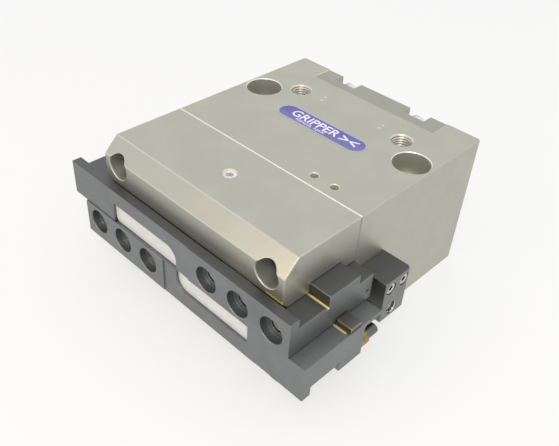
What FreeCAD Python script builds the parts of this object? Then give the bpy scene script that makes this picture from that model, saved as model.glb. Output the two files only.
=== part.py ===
import FreeCAD, Part
import os
import re
import Sketcher

# Pneumatic parallel gripper, in millimetres.
# Origin: centre of the housing's bottom face. X runs along the jaw travel, -Y is the jaw side, Z is up.
# A piston in the housing moves a drive wedge along Y. Two 45 degree slots in the wedge push the jaws
# apart along X. The two jaws are one shape, the left one turned half round about the Y axis.

# Driving dimensions
SIZES = {
    # Housing block and guide rails
    "body_width": 112.0,
    "body_depth": 130.8,
    "body_height": 71.2,
    "rail_depth": 43.0,
    "front_chamfer": 7.0,
    "back_corner": 1.0,
    "edge_break": 0.3,
    "fit_gap": 0.02,
    "thread_gap": 0.05,
    # Jaw section and the slot that it runs in
    "lip_depth": 15.2,
    "lip_chamfer": 2.9,
    "slide_gap": 0.1,
    "jaw_gap": 0.2,
    "bar_stand_off": 1.5,
    "bar_thickness": 5.3,
    "bar_height": 17.7,
    "neck_height": 12.9,
    "guide_height": 17.6,
    "guide_depth": 18.2,
    "undercut_width": 1.7,
    "undercut_depth": 1.2,
    "tail_gap": 0.4,
    "tail_relief": 20.8,
    "ledge_thickness": 1.6,
    "ledge_reach": 6.4,
    "notch_width": 4.3,
    "notch_corner": 1.6,
    "notch_room": 1.0,
    # Jaw length and travel
    "long_overhang": 19.0,
    "short_overhang": 10.4,
    "jaw_stroke": 18.0,
    # Finger pad with its centring seats
    "pad_start": 8.5,
    "pad_rise": 0.6,
    "finger_start": 19.8,
    "finger_pitch": 18.5,
    "finger_height": 7.8,
    "seat_radius": 6.0,
    "seat_depth": 4.0,
    "finger_thread_radius": 3.4,
    "finger_thread_depth": 13.0,
    # Window and bright strip in each jaw bar
    "window_end": 0.3,
    "window_length": 44.4,
    "window_height": 10.4,
    "window_depth": 5.0,
    "window_corner": 6.0,
    "strip_corner": 2.0,
    "strip_recess": 2.0,
    "strip_gap": 0.1,
    # Stop key at the long end of each jaw
    "key_inset": 0.6,
    "key_length": 8.2,
    "key_width": 6.4,
    "key_rise": 2.0,
    "key_seat": 4.0,
    "key_back": 8.8,
    "groove_gap": 0.4,
    # Switch screw and its collar at the long end of each jaw
    "switch_inset": 3.3,
    "switch_height": 13.2,
    "switch_radius": 2.5,
    "switch_reach": 7.4,
    "switch_seat": 8.0,
    "collar_radius": 3.3,
    "collar_thickness": 5.0,
    # Pin hole in the short end of each jaw
    "end_hole_radius": 0.9,
    "end_hole_depth": 6.0,
    "end_hole_back": 2.8,
    "end_hole_height": 5.1,
    # Drive wedge, slide blocks and drive pins
    "wedge_thickness": 12.0,
    "wedge_wall": 4.4,
    "wedge_back_wall": 5.5,
    "wedge_end_gap": 0.8,
    "wedge_room": 0.5,
    "pin_start": 9.5,
    "pin_inset": 5.0,
    "pin_radius": 2.5,
    "pin_cap": 0.5,
    "block_length": 11.0,
    "block_width": 8.0,
    "block_room": 0.2,
    "slot_gap": 0.05,
    "slot_end_gap": 1.2,
    # Piston, rod and cylinder bore
    "bore_radius": 25.0,
    "piston_gap": 0.08,
    "piston_length": 13.0,
    "piston_end_gap": 2.0,
    "ring_width": 3.0,
    "ring_wall": 1.0,
    "ring_depth": 3.0,
    "ring_gap": 0.03,
    "rod_radius": 7.0,
    "rod_gap": 0.04,
    "rod_stud_radius": 5.0,
    "nut_radius": 8.6,
    "nut_height": 5.5,
    "nut_room": 1.0,
    "wedge_stud_radius": 3.0,
    "wedge_stud_grip": 12.0,
    "bulkhead_thickness": 9.0,
    "bush_radius": 10.5,
    "bush_length": 4.5,
    "rod_seal_length": 3.0,
    # Rear cover
    "cover_width": 74.8,
    "cover_thickness": 12.8,
    "cover_fit": 0.05,
    "cover_drop": 0.4,
    "cover_screw_spread": 21.8,
    "cover_screw_inset": 7.0,
    "cover_screw_radius": 3.0,
    "cover_head_radius": 5.0,
    "cover_head_height": 6.0,
    "cover_head_room": 0.5,
    "cover_slot_radius": 6.2,
    "cover_screw_grip": 11.0,
    "cover_seal_offset": 2.0,
    "cover_seal_width": 2.4,
    "cover_seal_depth": 2.0,
    # Screws and dowels that hold the rails
    "rail_screw_side": 9.3,
    "rail_screw_inset": 10.4,
    "rail_screw_radius": 3.0,
    "rail_head_radius": 5.0,
    "rail_head_height": 6.0,
    "rail_head_room": 1.05,
    "rail_seat_depth": 14.2,
    "rail_screw_grip": 14.0,
    "screw_clearance": 0.4,
    "dowel_spread": 15.0,
    "dowel_radius": 3.0,
    "dowel_grip": 8.0,
    # Mounting holes through the housing
    "mount_side": 10.0,
    "mount_back": 41.2,
    "mount_radius": 5.5,
    "mount_seat_radius": 8.75,
    "mount_seat_depth": 11.0,
    # Air ports and galleries
    "port_inset": 5.7,
    "port_back": 29.1,
    "port_radius": 4.85,
    "port_depth": 12.0,
    "port_sink": 0.7,
    "mouth_sink": 0.35,
    "drop_radius": 2.0,
    "gallery_radius": 1.5,
    "inlet_radius": 1.2,
    "gallery_height": 16.0,
    "gallery_end": 1.8,
    "gallery_seal_inner": 1.65,
    "gallery_seal_width": 0.75,
    "gallery_seal_depth": 1.0,
    # Grease plug and purge plugs in the top
    "grease_back": 24.1,
    "grease_radius": 3.3,
    "grease_length": 6.0,
    "grease_drill": 1.25,
    "purge_start": 24.2,
    "purge_pitch": 11.3,
    "purge_back": 7.1,
    "purge_radius": 1.8,
    "purge_length": 4.0,
    "purge_depth": 4.0,
    # Blank name plate
    "plate_length": 51.6,
    "plate_width": 10.9,
    "plate_back": 49.4,
    "plate_recess": 0.3,
    "plate_thickness": 0.4,
    # Sensor bracket on the right side of the housing
    "bracket_reach": 15.0,
    "bracket_depth": 17.4,
    "bracket_height": 22.0,
    "bracket_back": 3.5,
    "bracket_lift": 20.5,
    "bracket_screw_pitch": 8.8,
    "bracket_corner": 1.5,
    "bracket_screw_drop": 4.6,
    "bracket_screw_radius": 1.5,
    "bracket_head_radius": 2.75,
    "bracket_head_height": 3.0,
    "bracket_head_room": 0.3,
    "bracket_screw_grip": 8.0,
    "sensor_radius": 3.25,
    "sensor_reach": 8.0,
    "sensor_lift": 4.9,
    "clamp_back": 7.0,
    "clamp_radius": 3.3,
    "clamp_depth": 1.6,
}

# Places worked out from the driving dimensions
PLACES = {
    "side_x": "body_width / 2",
    "front_y": "-body_depth / 2",
    "back_y": "body_depth / 2",
    "mid_z": "body_height / 2",
    "seam_y": "front_y + rail_depth",
    "cover_y": "back_y - cover_thickness",
    # Jaw section, with heights counted from the plane between the two jaws
    "jaw_face": "jaw_gap / 2",
    "bar_back": "front_y - bar_stand_off",
    "bar_front": "bar_back - bar_thickness",
    "guide_front": "front_y + lip_depth + slide_gap",
    "guide_back": "guide_front + guide_depth",
    "tail_back": "seam_y - tail_gap",
    "long_end": "side_x + long_overhang",
    "short_end": "side_x + short_overhang",
    "ledge_face": "jaw_face + ledge_thickness",
    "notch_y": "guide_back - notch_width",
    "key_outer": "long_end - key_inset",
    "key_inner": "key_outer - key_length",
    "key_mid": "guide_front + key_back",
    # Rail slot
    "neck_slot": "neck_height + slide_gap",
    "guide_slot": "guide_height + slide_gap",
    "slot_front": "front_y + lip_depth",
    "slot_back": "guide_back + slide_gap",
    "relief_end": "-long_end + switch_inset + jaw_stroke + collar_radius + groove_gap",
    # Drive wedge at rest
    "pin_y": "tail_back - pin_inset",
    "half_root": "1 / sqrt(2)",
    "slot_half_length": "block_length / 2 + slot_end_gap",
    "slot_half_width": "block_width / 2 + slot_gap",
    "slot_corner": "(slot_half_length + slot_half_width) * half_root",
    "wedge_half_thickness": "wedge_thickness / 2",
    "wedge_front": "pin_y - slot_corner - wedge_wall",
    "wedge_back": "pin_y + jaw_stroke + slot_corner + wedge_back_wall",
    "wedge_nose": "pin_start + slot_corner + wedge_wall",
    "wedge_half": "wedge_nose + jaw_stroke",
    "jaw_pocket": "wedge_half_thickness + wedge_room",
    # Cylinder
    "bulkhead_front": "wedge_back + wedge_end_gap",
    "bore_front": "bulkhead_front + bulkhead_thickness",
    "rod_seal_front": "bore_front - rod_seal_length",
    "bush_front": "rod_seal_front - bush_length",
    "piston_back": "cover_y - piston_end_gap",
    "piston_front": "piston_back - piston_length",
    "piston_radius": "bore_radius - piston_gap",
    "ring_outer": "bore_radius - ring_gap",
    "ring_inner": "piston_radius - ring_depth",
    "ring_pitch": "ring_width + ring_wall",
    "nut_front": "piston_back - nut_height - nut_room",
    # Top of the housing
    "mount_x": "side_x - mount_side",
    "mount_y": "back_y - mount_back",
    "port_spread": "cover_width / 2 - port_inset",
    "port_y": "back_y - port_back",
    "plate_y": "back_y - plate_back",
    "gallery_z": "mid_z + gallery_height",
    # Screws and dowels of the rails
    "rail_screw_x": "side_x - rail_screw_side",
    "rail_screw_seat": "front_y + rail_seat_depth",
    "rail_screw_end": "seam_y + rail_screw_grip",
    # Sensor bracket
    "bracket_outer": "side_x + bracket_reach",
    "bracket_y": "seam_y + bracket_back",
    "bracket_end": "bracket_y + bracket_depth",
    "bracket_mid": "bracket_y + bracket_depth / 2",
    "clamp_y": "bracket_y + clamp_back",
    "bracket_top": "bracket_lift + bracket_height",
    "bracket_seat": "bracket_outer - bracket_head_height - bracket_head_room",
    "sensor_x": "side_x + sensor_reach",
    "sensor_z": "bracket_lift + sensor_lift",
}

# Cutting tools pass this far through a face
OVERCUT = 1.0
# Hexagon sockets: corner radius as a share of the screw's outside radius, depth as a share of its height
HEAD_SOCKET = 0.52
SET_SOCKET = 0.66
SOCKET_DEPTH = 0.6

HALF_TURN = FreeCAD.Rotation(FreeCAD.Vector(0, 1, 0), 180)
NO_TURN = FreeCAD.Rotation()
AXIS_TURN = {
    "X": FreeCAD.Rotation(FreeCAD.Vector(0, 1, 0), 90),
    "Y": FreeCAD.Rotation(FreeCAD.Vector(1, 0, 0), -90),
    "Z": NO_TURN,
}
BOTH_SIDES = ("-", "")

doc = FreeCAD.newDocument("parallel_gripper")
sheet = doc.addObject("Spreadsheet::Sheet", "Sizes")
nodes = []


def fill_sheet():
    """Writes each driving dimension to the sheet under its own name."""
    for row, (alias, size) in enumerate(SIZES.items(), start=1):
        sheet.set(f"A{row}", alias)
        sheet.set(f"B{row}", str(size))
        sheet.setAlias(f"B{row}", alias)
    doc.recompute()


def formula(text):
    """Turns a formula in size names into an expression on the sheet."""

    def spell(match):
        name = match.group()
        if name in PLACES:
            return "(" + formula(PLACES[name]) + ")"
        if name in SIZES:
            return "Sizes." + name
        return name

    return re.sub(r"[a-z][a-z_]*", spell, text)


def value(text):
    """Works a formula out as a number."""
    return float(sheet.evalExpression(formula(text)))


def bind(obj, prop, text):
    """Ties a property to a formula."""
    obj.setExpression(prop, formula(text))


def put(obj, x, y, z, turn=NO_TURN):
    """Places an object at three formulas."""
    obj.Placement = FreeCAD.Placement(FreeCAD.Vector(), turn)
    bind(obj, "Placement.Base.x", x)
    bind(obj, "Placement.Base.y", y)
    bind(obj, "Placement.Base.z", z)
    return obj


def node(obj, label):
    """Names a finished sub-part and adds it to the ones that are written."""
    obj.Label = label
    nodes.append(obj)
    return obj


# Plain solids
def block(x, y, z):
    """A box between two formulas on each axis."""
    box = doc.addObject("Part::Box", "block")
    bind(box, "Length", f"({x[1]}) - ({x[0]})")
    bind(box, "Width", f"({y[1]}) - ({y[0]})")
    bind(box, "Height", f"({z[1]}) - ({z[0]})")
    return put(box, x[0], y[0], z[0])


def along(obj, axis, centre, start):
    """Lays a round solid along an axis, from a start on it."""
    first, second = centre
    spots = {
        "X": (start, first, second),
        "Y": (first, start, second),
        "Z": (first, second, start),
    }
    return put(obj, *spots[axis], turn=AXIS_TURN[axis])


def bar(axis, centre, span, radius):
    """A cylinder along an axis; centre holds its other two coordinates in order."""
    rod = doc.addObject("Part::Cylinder", "bar")
    bind(rod, "Radius", radius)
    bind(rod, "Height", f"({span[1]}) - ({span[0]})")
    return along(rod, axis, centre, span[0])


def taper(axis, centre, span, first_radius, last_radius):
    """A cone frustum along an axis."""
    cone = doc.addObject("Part::Cone", "taper")
    bind(cone, "Radius1", first_radius)
    bind(cone, "Radius2", last_radius)
    bind(cone, "Height", f"({span[1]}) - ({span[0]})")
    return along(cone, axis, centre, span[0])


def hexagon(axis, centre, span, corner_radius):
    """A six-sided prism along an axis."""
    prism = doc.addObject("Part::Prism", "hexagon")
    prism.Polygon = 6
    bind(prism, "Circumradius", corner_radius)
    bind(prism, "Height", f"({span[1]}) - ({span[0]})")
    return along(prism, axis, centre, span[0])


def join(*solids):
    """One solid from several that touch."""
    if len(solids) == 1:
        return solids[0]
    fused = doc.addObject("Part::MultiFuse", "joined")
    fused.Shapes = list(solids)
    fused.Refine = True
    return fused


def cut(base, *tools):
    """A solid with tools taken out of it."""
    result = doc.addObject("Part::Cut", "cut")
    result.Base = base
    result.Tool = join(*tools)
    result.Refine = True
    return result


def overlap(*solids):
    """The solid that several share."""
    shared = doc.addObject("Part::MultiCommon", "shared")
    shared.Shapes = list(solids)
    return shared


def group(solids):
    """Several separate solids in one sub-part."""
    compound = doc.addObject("Part::Compound", "group")
    compound.Links = list(solids)
    return compound


def ring(axis, centre, span, outer, inner):
    """A flat ring around an axis."""
    hole_span = (f"{span[0]} - {OVERCUT}", f"{span[1]} + {OVERCUT}")
    return cut(bar(axis, centre, span, outer), bar(axis, centre, hole_span, inner))


# Sketched bodies
def outline(body, role, corners, offset):
    """A closed outline on a body's own plane, each corner tied to two formulas."""
    plane = next(item for item in body.Origin.OriginFeatures if item.Role == role)
    sketch = body.newObject("Sketcher::SketchObject", "outline")
    sketch.AttachmentSupport = [(plane, "")]
    sketch.MapMode = "FlatFace"
    bind(sketch, "AttachmentOffset.Base.z", offset)
    spots = [FreeCAD.Vector(value(across), value(up)) for across, up in corners]
    count = len(spots)
    for index, spot in enumerate(spots):
        sketch.addGeometry(Part.LineSegment(spot, spots[(index + 1) % count]))
    for index in range(count):
        sketch.addConstraint(Sketcher.Constraint("Coincident", index, 2, (index + 1) % count, 1))
    for index, spot in enumerate(spots):
        for kind, size, text in zip(("DistanceX", "DistanceY"), spot[:2], corners[index]):
            datum = sketch.addConstraint(Sketcher.Constraint(kind, -1, 1, index, 1, size))
            bind(sketch, f"Constraints[{datum}]", text)
    return sketch


def milled(role, corners, span, edge=None):
    """A body padded from an outline between two formulas, with its edges broken."""
    body = doc.addObject("PartDesign::Body", "milled")
    pad = body.newObject("PartDesign::Pad", "pad")
    pad.Profile = (outline(body, role, corners, span[0]), [""])
    bind(pad, "Length", f"({span[1]}) - ({span[0]})")
    body.Tip = pad
    doc.recompute()
    if edge:
        breaks = body.newObject("PartDesign::Chamfer", "breaks")
        breaks.Base = (pad, ["Edge1"])
        breaks.UseAllEdges = True
        bind(breaks, "Size", edge)
        body.Tip = breaks
    return body


def turned(corners):
    """A body turned about the cylinder axis; corners are pairs of radius and Y."""
    body = doc.addObject("PartDesign::Body", "turned")
    turn = body.newObject("PartDesign::Revolution", "turn")
    section = outline(body, "XY_Plane", corners, "0")
    turn.Profile = (section, [""])
    turn.ReferenceAxis = (section, ["V_Axis"])
    turn.Angle = 360
    body.Tip = turn
    return body


# Fasteners
def cap_screw(axis, centre, seat, facing, thread, head, head_height, length):
    """A socket screw; facing is + or - along its axis, the way its head points."""
    if facing == "+":
        shank_span = (f"{seat} - ({length})", seat)
        head_span = (seat, f"{seat} + {head_height} - edge_break")
        rim_span = (head_span[1], f"{seat} + {head_height}")
        rim = taper(axis, centre, rim_span, head, f"{head} - edge_break")
        socket_span = (f"{rim_span[1]} - {head_height} * {SOCKET_DEPTH}", f"{rim_span[1]} + {OVERCUT}")
    else:
        shank_span = (seat, f"{seat} + ({length})")
        head_span = (f"{seat} - {head_height} + edge_break", seat)
        rim_span = (f"{seat} - {head_height}", head_span[0])
        rim = taper(axis, centre, rim_span, f"{head} - edge_break", head)
        socket_span = (f"{rim_span[0]} - {OVERCUT}", f"{rim_span[0]} + {head_height} * {SOCKET_DEPTH}")
    blank = join(bar(axis, centre, shank_span, thread), bar(axis, centre, head_span, head), rim)
    return cut(blank, hexagon(axis, centre, socket_span, f"{head} * {HEAD_SOCKET}"))


def set_screw(axis, centre, span, radius):
    """A headless screw with a hexagon socket in its far end."""
    depth = f"({span[1]}) - (({span[1]}) - ({span[0]})) * {SOCKET_DEPTH}"
    socket = hexagon(axis, centre, (depth, f"({span[1]}) + {OVERCUT}"), f"{radius} * {SET_SOCKET}")
    return cut(bar(axis, centre, span, radius), socket)


# Housing block with its bore, chamber, ports and threads
def build_housing():
    """Builds the rear block that holds the cylinder and carries everything else."""
    top = "body_height"
    above = f"body_height + {OVERCUT}"
    footprint = [
        ("-side_x", "seam_y"),
        ("side_x", "seam_y"),
        ("side_x", "back_y - back_corner"),
        ("side_x - back_corner", "back_y"),
        ("-side_x + back_corner", "back_y"),
        ("-side_x", "back_y - back_corner"),
    ]
    blank = milled("XY_Plane", footprint, ("0", top), "edge_break")
    axis = ("0", "mid_z")
    half_cover = "cover_width / 2 + cover_fit"
    tools = [
        block(
            ("-wedge_half - wedge_end_gap", "wedge_half + wedge_end_gap"),
            (f"seam_y - {OVERCUT}", "bulkhead_front"),
            ("mid_z - jaw_pocket", "mid_z + jaw_pocket"),
        ),
        bar("Y", axis, ("bore_front", f"back_y + {OVERCUT}"), "bore_radius"),
        bar("Y", axis, (f"seam_y - {OVERCUT}", "bore_front"), "rod_radius + screw_clearance"),
        bar("Y", axis, ("bush_front", f"bore_front + {OVERCUT}"), "bush_radius + fit_gap"),
        block((f"-({half_cover})", half_cover), ("cover_y", f"back_y + {OVERCUT}"), (f"-{OVERCUT}", above)),
    ]
    for side in BOTH_SIDES:
        mount = (f"{side}mount_x", "mount_y")
        tools.append(bar("Z", mount, (f"-{OVERCUT}", above), "mount_radius"))
        tools.append(bar("Z", mount, (f"{top} - mount_seat_depth", above), "mount_seat_radius"))
        sink = (f"{top} - mouth_sink", top)
        tools.append(taper("Z", mount, sink, "mount_seat_radius", "mount_seat_radius + mouth_sink"))
        port = (f"{side}port_spread", "port_y")
        tools.append(bar("Z", port, (f"{top} - port_depth", above), "port_radius"))
        sink = (f"{top} - port_sink", top)
        tools.append(taper("Z", port, sink, "port_radius", "port_radius + port_sink"))
        tools.append(bar("Z", port, ("gallery_z - drop_radius", top), "drop_radius"))
        dowel = (f"{side}dowel_spread", f"{top} - rail_screw_inset")
        low_dowel = (f"{side}dowel_spread", "rail_screw_inset")
        for spot in (dowel, low_dowel):
            depth = (f"seam_y - {OVERCUT}", "seam_y + dowel_grip")
            tools.append(bar("Y", spot, depth, "dowel_radius + fit_gap"))
        for height in ("rail_screw_inset", f"{top} - rail_screw_inset"):
            spot = (f"{side}rail_screw_x", height)
            depth = (f"seam_y - {OVERCUT}", f"rail_screw_end + {OVERCUT}")
            tools.append(bar("Y", spot, depth, "rail_screw_radius + thread_gap"))
        for height in ("cover_screw_inset", f"{top} - cover_screw_inset"):
            spot = (f"{side}cover_screw_spread", height)
            depth = (f"cover_y - cover_screw_grip - {OVERCUT}", f"cover_y + {OVERCUT}")
            tools.append(bar("Y", spot, depth, "cover_screw_radius + thread_gap"))
    tools += gallery_tools()
    for step in (0, 1):
        spot = (f"purge_start + {step} * purge_pitch", "seam_y + purge_back")
        tools.append(bar("Z", spot, ("mid_z", above), "purge_radius + thread_gap"))
        wide = "purge_radius + thread_gap + mouth_sink"
        tools.append(taper("Z", spot, (f"{top} - mouth_sink", top), "purge_radius + thread_gap", wide))
    for sign in BOTH_SIDES:
        spot = (f"bracket_mid + {sign}1 * bracket_screw_pitch / 2", "bracket_top - bracket_screw_drop")
        depth = (f"side_x - bracket_screw_grip - {OVERCUT}", f"side_x + {OVERCUT}")
        tools.append(bar("X", spot, depth, "bracket_screw_radius + thread_gap"))
    tools.append(name_plate_form(f"{top} - plate_recess", above, "fit_gap"))
    node(cut(blank, *tools), "housing")


def gallery_tools():
    """The drilled air ways from the two ports to the two ends of the bore."""
    tools = []
    starts = {"": "bore_front + gallery_end", "-": "cover_y - gallery_end"}
    for side, end in starts.items():
        run = (f"{side}port_spread", "gallery_z")
        first = "port_y" if side == "-" else f"{end} - gallery_radius"
        tools.append(bar("Y", run, (first, f"cover_y + {OVERCUT}"), "gallery_radius"))
        reach = ("-port_spread", "0") if side == "-" else ("0", "port_spread")
        tools.append(bar("X", (end, "gallery_z"), reach, "inlet_radius"))
    return tools


def name_plate_form(low, high, gap):
    """The round-ended form of the name plate, grown by a gap."""
    reach = "plate_length / 2 - plate_width / 2"
    radius = f"plate_width / 2 + {gap}"
    middle = block(
        (f"-({reach})", reach),
        (f"plate_y - ({radius})", f"plate_y + ({radius})"),
        (low, high),
    )
    ends = [bar("Z", (f"{side}({reach})", "plate_y"), (low, high), radius) for side in BOTH_SIDES]
    return join(middle, *ends)


def build_top_fittings():
    """Builds the name plate and the small plugs."""
    top = "body_height"
    base = f"{top} - plate_recess"
    node(name_plate_form(base, f"{base} + plate_thickness", "0"), "name_plate")
    plugs = []
    for step in (0, 1):
        spot = (f"purge_start + {step} * purge_pitch", "seam_y + purge_back")
        span = (f"{top} - purge_depth - purge_length", f"{top} - purge_depth")
        plugs.append(set_screw("Z", spot, span, "purge_radius"))
    node(group(plugs), "purge_plugs")
    span = (f"{top} - grease_length - edge_break", f"{top} - edge_break")
    node(set_screw("Z", ("0", "front_y + grease_back"), span, "grease_radius"), "grease_plug")


# Guide rails in front of the housing
def build_rails():
    """Builds the two rails that form the jaw slot, with their screws and dowels."""
    top = "body_height - mid_z"
    section = [
        ("front_y + lip_chamfer", "neck_slot"),
        ("front_y", "neck_slot + lip_chamfer"),
        ("front_y", f"{top} - front_chamfer"),
        ("front_y + front_chamfer", top),
        ("seam_y", top),
        ("seam_y", "neck_slot"),
        ("slot_back", "neck_slot"),
        ("slot_back", "guide_slot"),
        ("slot_front", "guide_slot"),
        ("slot_front", "neck_slot"),
    ]
    height = f"{top} - rail_screw_inset"
    for label, turn in (("upper_guide_rail", NO_TURN), ("lower_guide_rail", HALF_TURN)):
        tools = [
            block(
                (f"-side_x - {OVERCUT}", "relief_end"),
                ("guide_back", f"seam_y + {OVERCUT}"),
                ("0", "switch_height + collar_radius + groove_gap"),
            )
        ]
        for side in BOTH_SIDES:
            spot = (f"{side}rail_screw_x", height)
            through = (f"front_y - {OVERCUT}", f"seam_y + {OVERCUT}")
            tools.append(bar("Y", spot, through, "rail_screw_radius + screw_clearance"))
            seat = (f"front_y - {OVERCUT}", "rail_screw_seat")
            tools.append(bar("Y", spot, seat, "rail_head_radius + rail_head_room"))
            wide = "rail_head_radius + rail_head_room + mouth_sink"
            sink = ("front_y", "front_y + mouth_sink")
            tools.append(taper("Y", spot, sink, wide, "rail_head_radius + rail_head_room"))
            spot = (f"{side}dowel_spread", height)
            depth = ("seam_y - dowel_grip", f"seam_y + {OVERCUT}")
            tools.append(bar("Y", spot, depth, "dowel_radius + fit_gap"))
        if label == "upper_guide_rail":
            spot = ("0", "front_y + grease_back")
            seat = (f"{top} - grease_length - edge_break", f"{top} + {OVERCUT}")
            tools.append(bar("Z", spot, seat, "grease_radius + thread_gap"))
            tools.append(bar("Z", spot, ("0", top), "grease_drill"))
        rail = cut(milled("YZ_Plane", section, ("-side_x", "side_x"), "edge_break"), *tools)
        node(put(rail, "0", "0", "mid_z", turn), label)
    screws = []
    dowels = []
    for side in BOTH_SIDES:
        for spot_z in ("rail_screw_inset", "body_height - rail_screw_inset"):
            length = "rail_screw_end - rail_screw_seat"
            screws.append(
                cap_screw(
                    "Y",
                    (f"{side}rail_screw_x", spot_z),
                    "rail_screw_seat",
                    "-",
                    "rail_screw_radius",
                    "rail_head_radius",
                    "rail_head_height",
                    length,
                )
            )
            span = ("seam_y - dowel_grip", "seam_y + dowel_grip")
            dowels.append(bar("Y", (f"{side}dowel_spread", spot_z), span, "dowel_radius"))
    node(group(screws), "rail_screws")
    node(group(dowels), "rail_dowels")


# Rear cover that closes the bore
def build_rear_cover():
    """Builds the cover plate, its screws and its seal ring."""
    half = "cover_width / 2"
    footprint = [(f"-{half}", "cover_y"), (half, "cover_y"), (half, "back_y"), (f"-{half}", "back_y")]
    seat = "back_y - cover_head_height - cover_head_room"
    slot_radius = "cover_slot_radius"
    seal = ("0", "mid_z")
    seal_inner = "bore_radius + cover_seal_offset"
    seal_outer = f"{seal_inner} + cover_seal_width"
    groove = (f"cover_y - {OVERCUT}", "cover_y + cover_seal_depth")
    tools = [ring("Y", seal, groove, f"{seal_outer} + fit_gap", f"{seal_inner} - fit_gap")]
    ways = [(f"{side}port_spread", "gallery_z") for side in BOTH_SIDES]
    way_outer = "gallery_seal_inner + gallery_seal_width"
    groove = (f"cover_y - {OVERCUT}", "cover_y + gallery_seal_depth")
    for way in ways:
        tools.append(ring("Y", way, groove, f"{way_outer} + fit_gap", "gallery_seal_inner - fit_gap"))
    screws = []
    for side in BOTH_SIDES:
        low = ("cover_screw_inset", f"-{OVERCUT}", "cover_screw_inset")
        high_z = "body_height - cover_screw_inset"
        high = (high_z, high_z, f"body_height + {OVERCUT}")
        for height, slot_low, slot_high in (low, high):
            spot_x = f"{side}cover_screw_spread"
            spot = (spot_x, height)
            past_back = f"back_y + {OVERCUT}"
            through = (f"cover_y - {OVERCUT}", past_back)
            tools.append(bar("Y", spot, through, "cover_screw_radius + screw_clearance"))
            tools.append(bar("Y", spot, (seat, past_back), slot_radius))
            across = (f"{spot_x} - ({slot_radius})", f"{spot_x} + {slot_radius}")
            tools.append(block(across, (seat, past_back), (slot_low, slot_high)))
            screws.append(
                cap_screw(
                    "Y",
                    spot,
                    seat,
                    "+",
                    "cover_screw_radius",
                    "cover_head_radius",
                    "cover_head_height",
                    f"({seat}) - cover_y + cover_screw_grip",
                )
            )
    plate = milled("XY_Plane", footprint, ("cover_drop", "body_height - cover_drop"), "edge_break")
    node(cut(plate, *tools), "rear_cover")
    node(group(screws), "rear_cover_screws")
    depth = ("cover_y", "cover_y + cover_seal_depth")
    node(ring("Y", seal, depth, seal_outer, seal_inner), "cover_seal")
    depth = ("cover_y", "cover_y + gallery_seal_depth")
    node(group([ring("Y", way, depth, way_outer, "gallery_seal_inner") for way in ways]), "gallery_seals")


# Piston with its rod and the drive wedge
def build_drive():
    """Builds the rod guide in the bulkhead and the pieces that move along Y."""
    axis = ("0", "mid_z")
    sections = {
        "rod_bush": ("bush_front", "rod_seal_front"),
        "rod_seal": ("rod_seal_front", "bore_front"),
    }
    for label, span in sections.items():
        node(ring("Y", axis, span, "bush_radius", "rod_radius + rod_gap"), label)
    rod = turned(
        [
            ("0", "wedge_back"),
            ("rod_radius", "wedge_back"),
            ("rod_radius", "piston_front"),
            ("rod_stud_radius", "piston_front"),
            ("rod_stud_radius", "nut_front + nut_height"),
            ("0", "nut_front + nut_height"),
        ]
    )
    drill = (f"wedge_back - {OVERCUT}", f"wedge_back + wedge_stud_grip + {OVERCUT}")
    rod_hole = bar("Y", ("0", "0"), drill, "wedge_stud_radius + thread_gap")
    node(put(cut(rod, rod_hole), "0", "0", "mid_z"), "piston_rod")
    grip = ("wedge_back - wedge_stud_grip", "wedge_back + wedge_stud_grip")
    node(bar("Y", axis, grip, "wedge_stud_radius"), "wedge_stud")
    build_piston()
    build_wedge()


def build_piston():
    """Builds the piston, its rings and its nut."""
    corners = [("rod_stud_radius + fit_gap", "piston_front"), ("piston_radius", "piston_front")]
    seals = []
    for index in range(3):
        low = f"piston_front + ring_wall + {index} * ring_pitch"
        high = f"{low} + ring_width"
        corners += [("piston_radius", low), ("ring_inner", low)]
        corners += [("ring_inner", high), ("piston_radius", high)]
        span = (f"{low} + fit_gap", f"{high} - fit_gap")
        seals.append(ring("Y", ("0", "mid_z"), span, "ring_outer", "ring_inner + fit_gap"))
    nut_pocket = "nut_radius + nut_room"
    corners += [
        ("piston_radius", "piston_back"),
        (nut_pocket, "piston_back"),
        (nut_pocket, "nut_front"),
        ("rod_stud_radius + fit_gap", "nut_front"),
    ]
    node(put(turned(corners), "0", "0", "mid_z"), "piston")
    front_seal, guide_ring, rear_seal = seals
    node(group([front_seal, rear_seal]), "piston_seals")
    node(guide_ring, "piston_guide_ring")
    axis = ("0", "mid_z")
    span = ("nut_front", "nut_front + nut_height")
    hole = (f"nut_front - {OVERCUT}", f"nut_front + nut_height + {OVERCUT}")
    nut = cut(hexagon("Y", axis, span, "nut_radius"), bar("Y", axis, hole, "rod_stud_radius + thread_gap"))
    node(nut, "piston_nut")


def turned_block(side, x, y, length, width, height):
    """A block lying at 45 degrees in the XY plane, centred on x, y and the level 0."""
    box = doc.addObject("Part::Box", "slanted_block")
    bind(box, "Length", length)
    bind(box, "Width", width)
    bind(box, "Height", height)
    long_side = f"(({length}) + ({width})) / 2 * half_root"
    short_side = f"(({length}) - ({width})) / 2 * half_root"
    if side == "-":
        turn = FreeCAD.Rotation(FreeCAD.Vector(0, 0, 1), 135)
        corner = (f"-({x}) + {long_side}", f"({y}) - {short_side}")
    else:
        turn = FreeCAD.Rotation(FreeCAD.Vector(0, 0, 1), 45)
        corner = (f"({x}) - {short_side}", f"({y}) - {long_side}")
    return put(box, *corner, f"-({height}) / 2", turn)


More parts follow.
